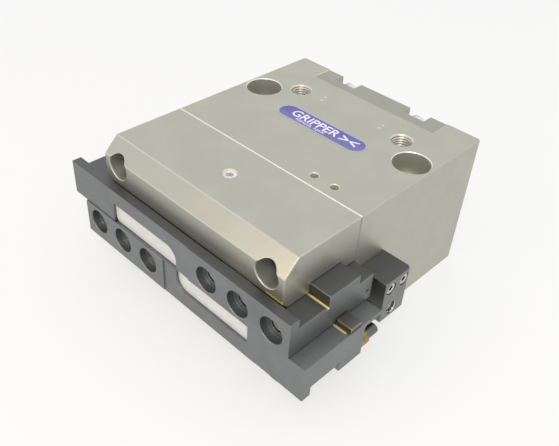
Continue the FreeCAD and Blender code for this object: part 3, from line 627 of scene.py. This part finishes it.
# Modelling helpers
class Bench:
    """The modelling operators, one piece at a time."""

    @staticmethod
    def start(name: str, primitive: Callable, **sizes: object) -> Piece:
        """Adds a primitive by itself and opens it for shaping.

        Args:
            name: The piece's name.
            primitive: The operator that adds it.
            sizes: The operator's own settings.

        Returns:
            The piece, in edit mode.
        """
        bpy.ops.object.select_all(action="DESELECT")
        primitive(**sizes)
        piece = bpy.context.object
        piece.name = name
        piece.data.name = name
        bpy.ops.object.transform_apply(location=True, rotation=True, scale=True)
        bpy.ops.object.mode_set(mode="EDIT")
        return piece

    @staticmethod
    def disc(name: str, sides: int, radius: float, **sizes: object) -> Piece:
        """Adds a filled disc by itself and opens it for shaping.

        Args:
            name: The piece's name.
            sides: How many corners the disc has.
            radius: Its radius.
            sizes: More settings of the operator.

        Returns:
            The piece, in edit mode.
        """
        circle = bpy.ops.mesh.primitive_circle_add
        return Bench.start(name, circle, vertices=sides, radius=radius, fill_type="NGON", **sizes)

    @staticmethod
    def take(piece: Piece) -> None:
        """Selects a piece by itself.

        Args:
            piece: The piece.
        """
        bpy.ops.object.select_all(action="DESELECT")
        piece.select_set(True)
        bpy.context.view_layer.objects.active = piece

    @staticmethod
    def pick(piece: Piece, kind: str, test: Callable) -> None:
        """Selects what passes a test, and nothing else.

        Args:
            piece: The piece in edit mode.
            kind: VERT or EDGE.
            test: Says whether one vertex or edge is wanted.
        """
        bpy.ops.mesh.select_mode(type=kind)
        bpy.ops.mesh.select_all(action="DESELECT")
        shape = bmesh.from_edit_mesh(piece.data)
        for part in {"VERT": shape.verts, "EDGE": shape.edges}[kind]:
            if test(part):
                part.select_set(True)
        shape.select_flush_mode()
        bmesh.update_edit_mesh(piece.data)

    @staticmethod
    def pull(rise: float, scale: float = 1.0, level: float = 0.0) -> None:
        """Extrudes the selection along Z, then scales its new end about the Z axis.

        Args:
            rise: How far the end moves.
            scale: What the end is scaled by.
            level: The height of the new end.
        """
        bpy.ops.mesh.extrude_region_move(TRANSFORM_OT_translate={"value": (0.0, 0.0, rise)})
        if scale != 1.0:
            bpy.ops.transform.resize(value=(scale, scale, 1.0), center_override=(0.0, 0.0, level))

    @staticmethod
    def close(piece: Piece) -> Piece:
        """Merges doubles, turns the faces outwards and smooths by angle.

        Args:
            piece: The piece in edit mode.

        Returns:
            The piece, in object mode.
        """
        bpy.ops.mesh.select_all(action="SELECT")
        bpy.ops.mesh.remove_doubles(threshold=MERGE)
        bpy.ops.mesh.normals_make_consistent(inside=False)
        bpy.ops.object.mode_set(mode="OBJECT")
        bpy.ops.object.shade_smooth_by_angle(angle=SHARP_ANGLE)
        return piece

    @staticmethod
    def settle(piece: Piece, facing: Facing, place: Spot) -> Piece:
        """Turns and moves a finished piece, and leaves that in its mesh.

        Args:
            piece: The piece, which was modelled at the origin looking up.
            facing: The way it looks.
            place: Where its origin goes.

        Returns:
            The piece.
        """
        Bench.take(piece)
        piece.rotation_euler = facing.value
        piece.location = place
        bpy.ops.object.transform_apply(location=True, rotation=True, scale=True)
        return piece

    @staticmethod
    def twin(piece: Piece, name: str, shift: Spot) -> Piece:
        """Copies a piece that is in its place.

        Args:
            piece: The piece to copy.
            name: The copy's name.
            shift: From the piece to the copy.

        Returns:
            The copy, with its own mesh.
        """
        Bench.take(piece)
        bpy.ops.object.duplicate(linked=False)
        other = bpy.context.object
        other.name = name
        other.data.name = name
        return Bench.settle(other, Facing.UP, shift)

    @staticmethod
    def repeat(first: Piece, stem: str, shifts: Sequence[Spot]) -> list[Piece]:
        """Copies a piece several times.

        Args:
            first: The piece, which is number 1.
            stem: The copies' name without their number.
            shifts: From the piece to each copy.

        Returns:
            All the pieces, the first one included.
        """
        pieces = [first]
        for number, shift in enumerate(shifts, start=2):
            pieces.append(Bench.twin(first, f"{stem}_{number}", shift))
        return pieces


def corner_shifts(across: float, drop: float) -> tuple[Spot, ...]:
    """Lists the ways from the upper right corner of a pattern to the other three.

    Args:
        across: From right to left.
        drop: From the upper row to the lower one.

    Returns:
        The three shifts.
    """
    return (across, 0.0, 0.0), (0.0, 0.0, drop), (across, 0.0, drop)


def dress(piece: Piece, *finishes: Finish) -> None:
    """Gives a piece its materials, in the order of its slots.

    Args:
        piece: A new piece or a CAD node.
        finishes: One finish for each slot.
    """
    materials = piece.data.materials
    while len(materials) < len(finishes):
        materials.append(None)
    for index in range(len(materials)):
        materials[index] = finishes[min(index, len(finishes) - 1)].material()


def dress_nodes(finishes: dict[str, Finish], prefix: str = "") -> None:
    """Gives CAD nodes their finishes.

    Args:
        finishes: The finish of each node.
        prefix: What the nodes' names start with.
    """
    for name, finish in finishes.items():
        dress(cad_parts[prefix + name], finish)


def hand_over(piece: Piece, body: str, slot: str, *nodes: str) -> None:
    """Ties a new piece to its body and hides the nodes it stands for.

    Args:
        piece: The new piece.
        body: The body that it rides on.
        slot: The record's material slot; not used.
        nodes: CAD nodes that it replaces.
    """
    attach(piece, body)
    if nodes:
        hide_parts(*nodes)
    log.info("%s rides on %s, %d faces", piece.name, body, len(piece.data.polygons))


@dataclass(frozen=True)
class ThreadSleeve:
    """The cut thread inside a hole, with its mouth at the origin and its depth down."""

    hole: float
    pitch: float
    turns: int
    ridge: float
    wall: float = 0.05 * MM
    gap: float = 0.01 * MM
    # Where the crest starts and ends, as shares of the pitch
    crest_span: Pair = (0.45, 0.6)
    steps: int = 40

    def build(self, name: str) -> Piece:
        """Screws a tooth profile down the hole.

        Args:
            name: The piece's name.

        Returns:
            The thread.
        """
        root = self.hole - self.wall - self.gap
        crest = root - self.ridge
        low = -self.pitch
        crest_low, crest_high = (low + share * self.pitch for share in self.crest_span)
        # The corners of a plane that is 2 m wide, and where each one goes
        tooth = {
            (-1, -1): (root, 0.0, low),
            (1, -1): (crest, 0.0, crest_low),
            (1, 1): (crest, 0.0, crest_high),
            (-1, 1): (root, 0.0, low + self.pitch),
        }
        piece = Bench.start(name, bpy.ops.mesh.primitive_plane_add, size=2.0)
        bpy.ops.mesh.delete(type="ONLY_FACE")
        Bench.pick(piece, "EDGE", lambda edge: all(vert.co.x < 0 for vert in edge.verts))
        bpy.ops.mesh.delete(type="EDGE")
        for corner, goal in tooth.items():
            start = Vector((*corner, 0.0))
            Bench.pick(piece, "VERT", lambda vert: (vert.co - start).length < NEAR)
            bpy.ops.transform.translate(value=Vector(goal) - start)
        bpy.ops.mesh.select_all(action="SELECT")
        bpy.ops.mesh.screw(steps=self.steps, turns=self.turns - 1, center=(0, 0, 0), axis=(0, 0, 1))
        bpy.ops.mesh.select_all(action="SELECT")
        bpy.ops.mesh.remove_doubles(threshold=MERGE)
        bpy.ops.mesh.normals_make_consistent(inside=True)
        bpy.ops.object.mode_set(mode="OBJECT")
        wall = piece.modifiers.new("wall", "SOLIDIFY")
        wall.thickness = self.wall
        wall.offset = -1.0
        bpy.ops.object.modifier_apply(modifier=wall.name)
        bpy.ops.object.shade_smooth_by_angle(angle=SHARP_THREAD_ANGLE)
        return piece


@dataclass(frozen=True)
class SocketScrew:
    """A hexagon socket screw that looks up, with its seat at the origin."""

    shank: float
    length: float
    head: float
    height: float
    socket: float
    depth: float
    rim: float = 0.5 * MM
    knurled: bool = True
    sides: int = 60

    # The head's plain foot, by its height, and the two steps of its rim: rise and draw, by the rim
    FOOT = 0.12
    RIM_STEPS = ((0.6, 0.35), (0.4, 0.75))
    # The socket's mouth and floor, by its radius, and the slope between mouth and hexagon, by its depth
    MOUTH = 1.12
    FLOOR_INSET = 0.5
    FLOOR_DROP = 0.25
    LIP = 0.12
    # The knurl's grooves, by the head's radius
    GROOVE = 0.965

    def build(self, name: str) -> Piece:
        """Pulls the screw out of one disc and sinks its socket.

        Args:
            name: The piece's name.

        Returns:
            The screw.
        """
        piece = Bench.disc(name, self.sides, self.shank, location=(0.0, 0.0, -self.length))
        Bench.pull(self.length)
        if self.head > self.shank:
            Bench.pull(0.0, self.head / self.shank)
        Bench.pull(self.FOOT * self.height)
        Bench.pull((1.0 - self.FOOT) * self.height - self.rim)
        level = self.height - self.rim
        flat = self.head
        for rise, draw in self.RIM_STEPS:
            level += rise * self.rim
            scale = 1.0 - draw * self.rim / self.head
            Bench.pull(rise * self.rim, scale, level)
            flat *= scale
        mouth = self.socket * self.MOUTH
        bpy.ops.mesh.inset(thickness=flat - mouth)
        bpy.ops.mesh.delete(type="FACE")
        self.sink_socket(piece, mouth)
        if self.knurled:
            self.knurl(piece)
        return Bench.close(piece)

    def sink_socket(self, piece: Piece, mouth: float) -> None:
        """Bridges the round mouth to a hexagon and takes that down.

        Args:
            piece: The screw in edit mode, open at its top.
            mouth: The radius of the opening.
        """
        lip = self.LIP * self.depth
        level = self.height - lip
        bpy.ops.mesh.primitive_circle_add(
            vertices=6, radius=self.socket, fill_type="NOTHING", location=(0.0, 0.0, level)
        )

        def on_mouth(vert: bmesh.types.BMVert) -> bool:
            """Whether a vertex lies on the mouth's round edge or on the hexagon."""
            return vert.co.z > level - lip / 2 and vert.co.xy.length < mouth + NEAR

        def on_hexagon(vert: bmesh.types.BMVert) -> bool:
            """Whether a vertex lies as high as the hexagon."""
            return abs(vert.co.z - level) < NEAR

        Bench.pick(piece, "EDGE", lambda edge: all(on_mouth(vert) for vert in edge.verts))
        bpy.ops.mesh.bridge_edge_loops()
        Bench.pick(piece, "EDGE", lambda edge: all(on_hexagon(vert) for vert in edge.verts))
        bpy.ops.mesh.extrude_edges_move(TRANSFORM_OT_translate={"value": (0.0, 0.0, lip - self.depth)})
        bpy.ops.mesh.edge_face_add()
        bpy.ops.mesh.inset(thickness=self.FLOOR_INSET * self.socket)
        bpy.ops.transform.translate(value=(0.0, 0.0, -self.FLOOR_DROP * self.socket))

    def knurl(self, piece: Piece) -> None:
        """Draws in every other line of the head's side.

        Args:
            piece: The screw in edit mode.
        """
        step = 2 * math.pi / self.sides

        def in_groove(vert: bmesh.types.BMVert) -> bool:
            """Whether a vertex lies in one of the grooves."""
            if abs(vert.co.xy.length - self.head) > 2 * NEAR or vert.co.z < self.FOOT * self.height / 2:
                return False
            return round(math.atan2(vert.co.y, vert.co.x) / step) % 2 == 1

        Bench.pick(piece, "VERT", in_groove)
        bpy.ops.transform.resize(value=(self.GROOVE, self.GROOVE, 1.0), center_override=(0.0, 0.0, 0.0))


# Sub-assemblies
@dataclass
class BodyBlock:
    """The housing with its two guide rails and the screws that hold them."""

    screw_x: float = 46.7 * MM
    screw_low: float = 10.4 * MM
    screw_high: float = 60.8 * MM
    screw_seat: float = -51.2 * MM
    screw: SocketScrew = SocketScrew(
        shank=3.0 * MM, length=42.8 * MM, head=5.0 * MM, height=6.0 * MM, socket=2.85 * MM, depth=3.0 * MM
    )

    def build(self) -> None:
        """Models the four rail screws and dresses the metal around them."""
        place = (self.screw_x, self.screw_seat, self.screw_high)
        first = Bench.settle(self.screw.build("rail_screw_1"), Facing.FRONT, place)
        dress(first, BLACK_OXIDE)
        shifts = corner_shifts(-2 * self.screw_x, self.screw_low - self.screw_high)
        for screw in Bench.repeat(first, "rail_screw", shifts):
            hand_over(screw, "body", "black_steel")
        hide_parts("rail_screws")
        dress_nodes({"housing": HOUSING_COAT, "rail_dowels": BRIGHT_STEEL})
        dress_nodes({"upper_guide_rail": RAIL_COAT, "lower_guide_rail": RAIL_COAT})


@dataclass(frozen=True)
class PrintLine:
    """One line of print: what it says, how tall it is and where its middle lies."""

    name: str
    words: str
    height: float
    spot: Pair


@dataclass
class TopFittings:
    """What sits in the top face: threads and dots of the ports, grease screw and label."""

    top: float = 71.2 * MM
    port_x: float = 31.7 * MM
    port_y: float = 36.3 * MM
    port_drop: float = 0.7 * MM
    grease_y: float = -41.3 * MM
    grease_drop: float = 2.3 * MM
    label_y: float = 16.0 * MM
    label_length: float = 51.6 * MM
    label_width: float = 10.9 * MM
    label_rise: float = 0.4 * MM
    label_low: float = 70.9 * MM
    label_sides: int = 64
    # The label's top: a sloped edge, a flat rim and a small step down to the field
    edge_width: float = 0.08 * MM
    edge_rise: float = 0.05 * MM
    rim_width: float = 0.28 * MM
    step_width: float = 0.06 * MM
    step_drop: float = 0.02 * MM
    lines: tuple[PrintLine, ...] = (
        PrintLine("label_word", "GRIPPER", 7.6 * MM, (-4.4 * MM, 16.6 * MM)),
        PrintLine("label_note", "PARALLEL  2-JAW", 2.3 * MM, (-4.4 * MM, 12.8 * MM)),
        PrintLine("label_sign", "><", 9.0 * MM, (16.4 * MM, 16.2 * MM)),
    )
    print_lift: float = 0.04 * MM
    print_depth: float = 0.01 * MM
    # How far the print's outline grows, by its height
    print_bold: float = 0.015
    print_resolution: int = 4
    # A dot is a low ring around a shallow dish
    dot_radius: float = 0.75 * MM
    dot_sides: int = 32
    dot_rise: float = 0.05 * MM
    dot_sink: float = 0.01 * MM
    dot_ring: float = 0.15 * MM
    dish_slope: float = 0.3 * MM
    dish_depth: float = 0.03 * MM
    dots: tuple[Pair, ...] = (
        (-17.6 * MM, 36.2 * MM),
        (-18.3 * MM, 39.6 * MM),
        (18.0 * MM, 36.8 * MM),
        (17.8 * MM, 40.2 * MM),
    )
    thread: ThreadSleeve = ThreadSleeve(hole=4.85 * MM, pitch=1.3 * MM, turns=8, ridge=0.5 * MM)
    grease: SocketScrew = SocketScrew(
        shank=3.2 * MM, length=4.0 * MM, head=3.3 * MM, height=2.0 * MM, socket=1.75 * MM, depth=2.4 * MM,
        rim=0.45 * MM, knurled=False,
    )

    def build(self) -> None:
        """Models the fittings and dresses the plugs that stay as they are."""
        self.build_threads()
        place = (0.0, self.grease_y, self.top - self.grease_drop)
        screw = Bench.settle(self.grease.build("grease_screw"), Facing.UP, place)
        dress(screw, PALE_STEEL)
        hand_over(screw, "body", "bright_steel", "grease_plug")
        self.build_label()
        self.build_print()
        self.build_dots()
        dress_nodes({"purge_plugs": BRIGHT_STEEL})

    def build_threads(self) -> None:
        """Cuts the thread of the right port and copies it to the left one."""
        place = (self.port_x, self.port_y, self.top - self.port_drop)
        right = Bench.settle(self.thread.build("port_thread_right"), Facing.UP, place)
        dress(right, CUT_THREAD)
        left = Bench.twin(right, "port_thread_left", (-2 * self.port_x, 0.0, 0.0))
        for piece in (right, left):
            hand_over(piece, "body", "body_metal")

    def build_label(self) -> None:
        """Draws the round-ended label out of a disc, with a rim around its field."""
        radius = self.label_width / 2
        reach = self.label_length / 2 - radius
        turn = (0.0, 0.0, math.pi / self.label_sides)
        label = Bench.disc("name_label", self.label_sides, radius, rotation=turn)
        for sign in (1, -1):
            Bench.pick(label, "VERT", lambda vert: vert.co.x * sign > 0)
            bpy.ops.transform.translate(value=(sign * reach, 0.0, 0.0))
        bpy.ops.mesh.select_all(action="SELECT")
        Bench.pull(self.label_rise)
        bpy.ops.mesh.inset(thickness=self.edge_width)
        bpy.ops.transform.translate(value=(0.0, 0.0, self.edge_rise))
        bpy.ops.mesh.inset(thickness=self.rim_width)
        bpy.ops.mesh.inset(thickness=self.step_width)
        bpy.ops.transform.translate(value=(0.0, 0.0, -self.step_drop))
        # The first slot is for the rim, and the second for the field, which is still selected
        label.data.materials.append(None)
        label.data.materials.append(None)
        label.active_material_index = 1
        bpy.ops.object.material_slot_assign()
        Bench.close(label)
        Bench.settle(label, Facing.UP, (0.0, self.label_y, self.label_low))
        dress(label, LABEL_RIM, LABEL_FILM)
        hand_over(label, "body", "label", "name_plate")

    def build_print(self) -> None:
        """Prints the label's plain words and its jaw sign."""
        level = self.label_low + self.label_rise + self.print_lift
        for row in self.lines:
            bpy.ops.object.select_all(action="DESELECT")
            bpy.ops.object.text_add()
            line = bpy.context.object
            line.name = row.name
            line.data.body = row.words
            line.data.size = row.height
            line.data.align_x = "CENTER"
            line.data.align_y = "CENTER"
            line.data.extrude = self.print_depth
            line.data.offset = self.print_bold * row.height
            line.data.resolution_u = self.print_resolution
            bpy.ops.object.convert(target="MESH")
            line.data.name = row.name
            Bench.settle(line, Facing.UP, (*row.spot, level))
            dress(line, LABEL_PRINT)
            hand_over(line, "body", "label")

    def build_dots(self) -> None:
        """Presses the small port dots, two beside each port."""
        dot = Bench.disc("port_dot_1", self.dot_sides, self.dot_radius)
        Bench.pull(self.dot_rise)
        bpy.ops.mesh.inset(thickness=self.dot_ring)
        bpy.ops.mesh.inset(thickness=self.dish_slope)
        bpy.ops.transform.translate(value=(0.0, 0.0, -self.dish_depth))
        Bench.close(dot)
        (first_x, first_y), *rest = self.dots
        Bench.settle(dot, Facing.UP, (first_x, first_y, self.top - self.dot_sink))
        dress(dot, BRIGHT_STEEL)
        shifts = [(x - first_x, y - first_y, 0.0) for x, y in rest]
        for piece in Bench.repeat(dot, "port_dot", shifts):
            hand_over(piece, "body", "bright_steel")


@dataclass
class RearCover:
    """The cover plate on the back, with its four screws and its seals."""

    screw_x: float = 21.8 * MM
    screw_low: float = 7.0 * MM
    screw_high: float = 64.2 * MM
    seat: float = 58.9 * MM
    screw: SocketScrew = SocketScrew(
        shank=3.0 * MM, length=17.3 * MM, head=5.0 * MM, height=6.0 * MM, socket=2.9 * MM, depth=3.0 * MM
    )

    def build(self) -> None:
        """Models the screws and dresses the plate."""
        place = (self.screw_x, self.seat, self.screw_high)
        first = Bench.settle(self.screw.build("cover_screw_1"), Facing.BACK, place)
        dress(first, BRIGHT_STEEL)
        shifts = corner_shifts(-2 * self.screw_x, self.screw_low - self.screw_high)
        for screw in Bench.repeat(first, "cover_screw", shifts):
            hand_over(screw, "body", "bright_steel")
        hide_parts("rear_cover_screws")
        dress_nodes({"rear_cover": COVER_COAT, "cover_seal": SEAL_RUBBER, "gallery_seals": SEAL_RUBBER})


class Drive:
    """The piston, its rod and the wedge, with the rod's guide."""

    def build(self) -> None:
        """Dresses the inner pieces."""
        finishes = {
            "piston": PISTON_ALLOY,
            "piston_seals": SEAL_RUBBER,
            "piston_guide_ring": GUIDE_PLASTIC,
            "piston_nut": BRIGHT_STEEL,
            "piston_rod": BRIGHT_STEEL,
            "wedge_stud": BRIGHT_STEEL,
            "drive_wedge": KEY_STEEL,
            "rod_bush": TURNED_BRASS,
            "rod_seal": SEAL_RUBBER,
        }
        dress_nodes(finishes)


@dataclass
class Jaw:
    """One jaw bar with its finger threads, strip, key and switch screw."""

    side: Side
    finger_x: tuple[float, ...] = (19.8 * MM, 38.3 * MM, 56.8 * MM)
    finger_rise: float = 7.8 * MM
    seat_y: float = -68.2 * MM
    thread_sink: float = 0.1 * MM
    thread: ThreadSleeve = ThreadSleeve(hole=3.4 * MM, pitch=1.25 * MM, turns=7, ridge=0.5 * MM)

    def build(self) -> None:
        """Cuts the finger threads and dresses the jaw's nodes."""
        label = self.side.label
        sign = self.side.value
        near_x = self.finger_x[0]
        place = (sign * near_x, self.seat_y + self.thread_sink, JAW_PLANE + sign * self.finger_rise)
        stem = f"{label}_finger_thread"
        first = Bench.settle(self.thread.build(f"{stem}_1"), Facing.FRONT, place)
        dress(first, DARK_THREAD)
        shifts = [(sign * (x - near_x), 0.0, 0.0) for x in self.finger_x[1:]]
        for piece in Bench.repeat(first, stem, shifts):
            hand_over(piece, f"{label}_jaw_set", "jaw_steel")
        finishes = {
            "jaw": JAW_STEEL,
            "jaw_strip": STRIP_SHEET,
            "drive_pin": BRIGHT_STEEL,
            "slide_block": KEY_STEEL,
            "stop_key": KEY_STEEL,
            "switch_screw": GREY_OXIDE,
            "switch_collar": TURNED_BRASS,
        }
        dress_nodes(finishes, prefix=f"{label}_")


@dataclass
class SensorHolder:
    """The black bracket on the right side, with its two screws and clamp screw."""

    screw_y: Pair = (-14.6 * MM, -5.8 * MM)
    screw_z: float = 37.9 * MM
    screw_seat: float = 67.7 * MM
    face: float = 71.0 * MM
    clamp_y: float = -11.9 * MM
    clamp_z: float = 25.4 * MM
    clamp_face: float = 69.4 * MM
    thread_sink: float = 0.05 * MM
    screw: SocketScrew = SocketScrew(
        shank=1.5 * MM, length=19.7 * MM, head=2.75 * MM, height=3.0 * MM, socket=1.45 * MM, depth=1.8 * MM,
        rim=0.28 * MM, knurled=False, sides=48,
    )
    clamp: SocketScrew = SocketScrew(
        shank=3.2 * MM, length=0.85 * MM, head=3.3 * MM, height=1.2 * MM, socket=1.8 * MM, depth=1.4 * MM,
        rim=0.4 * MM, knurled=False,
    )
    thread: ThreadSleeve = ThreadSleeve(hole=3.35 * MM, pitch=0.75 * MM, turns=2, ridge=0.22 * MM)

    def build(self) -> None:
        """Models the screws and dresses the bracket."""
        near_y, far_y = self.screw_y
        place = (self.screw_seat, near_y, self.screw_z)
        first = Bench.settle(self.screw.build("bracket_screw_1"), Facing.RIGHT, place)
        dress(first, WORN_GLINT_OXIDE)
        second = Bench.twin(first, "bracket_screw_2", (0.0, far_y - near_y, 0.0))
        hand_over(first, "body", "black_steel", "sensor_bracket_screws")
        hand_over(second, "body", "black_steel")
        place = (self.clamp_face - self.clamp.height, self.clamp_y, self.clamp_z)
        clamp = Bench.settle(self.clamp.build("clamp_screw"), Facing.RIGHT, place)
        dress(clamp, PALE_OXIDE)
        hand_over(clamp, "body", "black_steel", "sensor_clamp_screw")
        place = (self.face - self.thread_sink, self.clamp_y, self.clamp_z)
        thread = Bench.settle(self.thread.build("clamp_thread"), Facing.RIGHT, place)
        dress(thread, BRIGHT_STEEL)
        hand_over(thread, "body", "bracket_black")
        dress_nodes({"sensor_bracket": BRACKET_BLACK})


# Studio
@dataclass(frozen=True)
class SoftBox:
    """A square studio lamp that looks at the middle of the object."""

    name: str
    place: Spot
    size: float
    power: float
    colour: Colour

    def hang(self, aim: Vector) -> None:
        """Hangs the lamp.

        Args:
            aim: The point that it looks at.
        """
        lamp = bpy.data.lights.new(self.name, "AREA")
        lamp.size = self.size
        lamp.energy = self.power
        lamp.color = self.colour
        stand = bpy.data.objects.new(self.name, lamp)
        bpy.context.scene.collection.objects.link(stand)
        stand.location = self.place
        stand.rotation_euler = (aim - Vector(self.place)).to_track_quat("-Z", "Y").to_euler()
        stand.visible_camera = False


@dataclass
class Studio:
    """The pale floor, the soft light and the camera."""

    lens: float = 44.54
    film_width: float = 36.0
    clip_start: float = 0.01
    eye: Spot = (0.175867, -0.20337, 0.235513)
    right: Spot = (0.712051, 0.699994, 0.054696)
    ahead: Spot = (-0.52451, 0.582095, -0.621333)
    aim: Spot = (0.0, 0.0, 0.035)
    floor_size: float = 8.0
    floor_colour: Colour = (0.8, 0.8, 0.8)
    floor_roughness: float = 0.9
    # The light of the air on the object, where the air itself looks white
    fill: float = 0.9
    # How much of the floor looks plain white
    clean: float = 0.6
    lamps: Sequence[SoftBox] = (
        SoftBox("warm_box", (-0.3, -0.9, 0.62), 0.3, 0.9, (1.0, 0.72, 0.48)),
        SoftBox("camera_box", (0.45, -0.5, 0.75), 0.35, 3.5, (1.0, 0.96, 0.88)),
    )

    def build(self) -> None:
        """Sets up the whole studio."""
        self.lay_floor()
        self.light()
        self.stand_camera()
        bpy.context.scene.view_settings.view_transform = "Standard"

    @staticmethod
    def seen(tree: bpy.types.NodeTree) -> Socket:
        """Adds a value that is 1 where the eye, a reflection or glass looks.

        Args:
            tree: The node tree that needs it.

        Returns:
            The value.
        """
        path = tree.nodes.new("ShaderNodeLightPath")
        total = path.outputs["Is Camera Ray"]
        for key in ("Is Glossy Ray", "Is Transmission Ray"):
            step = tree.nodes.new("ShaderNodeMath")
            step.operation = "MAXIMUM"
            tree.links.new(total, step.inputs[0])
            tree.links.new(path.outputs[key], step.inputs[1])
            total = step.outputs["Value"]
        return total

    def lay_floor(self) -> None:
        """Lays the pale floor, which keeps a soft shadow."""
        bpy.ops.object.select_all(action="DESELECT")
        bpy.ops.mesh.primitive_plane_add(size=self.floor_size, location=(0.0, 0.0, 0.0))
        floor = bpy.context.object
        floor.name = "studio_floor"
        paint = Recipe("floor_paint")
        paint.feed(paint.shader.inputs["Base Color"], (*self.floor_colour, 1.0))
        paint.feed(paint.shader.inputs["Roughness"], self.floor_roughness)
        glow = paint.add("ShaderNodeEmission")
        paint.feed(glow.inputs["Strength"], 1.0)
        mix = paint.add("ShaderNodeMixShader")
        paint.feed(mix.inputs["Fac"], paint.math("MULTIPLY", self.seen(paint.tree), self.clean))
        paint.feed(mix.inputs[1], paint.shader.outputs["BSDF"])
        paint.feed(mix.inputs[2], glow.outputs["Emission"])
        paint.feed(paint.tree.nodes["Material Output"].inputs["Surface"], mix.outputs["Shader"])
        floor.data.materials.append(paint.material)

    def light(self) -> None:
        """Lights the object evenly, with soft boxes for its edges."""
        world = bpy.data.worlds.new("studio_air")
        world.use_nodes = True
        bpy.context.scene.world = world
        tree = world.node_tree
        level = tree.nodes.new("ShaderNodeMapRange")
        level.inputs["To Min"].default_value = self.fill
        level.inputs["To Max"].default_value = 1.0
        tree.links.new(self.seen(tree), level.inputs["Value"])
        back = tree.nodes["Background"]
        back.inputs["Color"].default_value = (1.0, 1.0, 1.0, 1.0)
        tree.links.new(level.outputs["Result"], back.inputs["Strength"])
        for lamp in self.lamps:
            lamp.hang(Vector(self.aim))

    def stand_camera(self) -> None:
        """Stands the camera where the photograph was taken from."""
        lens = bpy.data.cameras.new("camera")
        lens.sensor_fit = "HORIZONTAL"
        lens.sensor_width = self.film_width
        lens.lens = self.lens
        lens.clip_start = self.clip_start
        camera = bpy.data.objects.new("camera", lens)
        bpy.context.scene.collection.objects.link(camera)
        across = Vector(self.right).normalized()
        away = -Vector(self.ahead).normalized()
        above = away.cross(across)
        turn = Matrix((across, above, away)).transposed().to_4x4()
        camera.matrix_world = Matrix.Translation(self.eye) @ turn
        bpy.context.scene.camera = camera


def main() -> None:
    """Builds the gripper's dress and the studio around it."""
    logging.basicConfig(level=logging.INFO, format="%(name)s: %(message)s")
    jaws = [Jaw(side) for side in Side]
    assemblies = (BodyBlock(), TopFittings(), RearCover(), Drive(), *jaws, SensorHolder(), Studio())
    for assembly in assemblies:
        log.info("building %s", type(assembly).__name__)
        assembly.build()


if __name__ == "__main__":
    main()
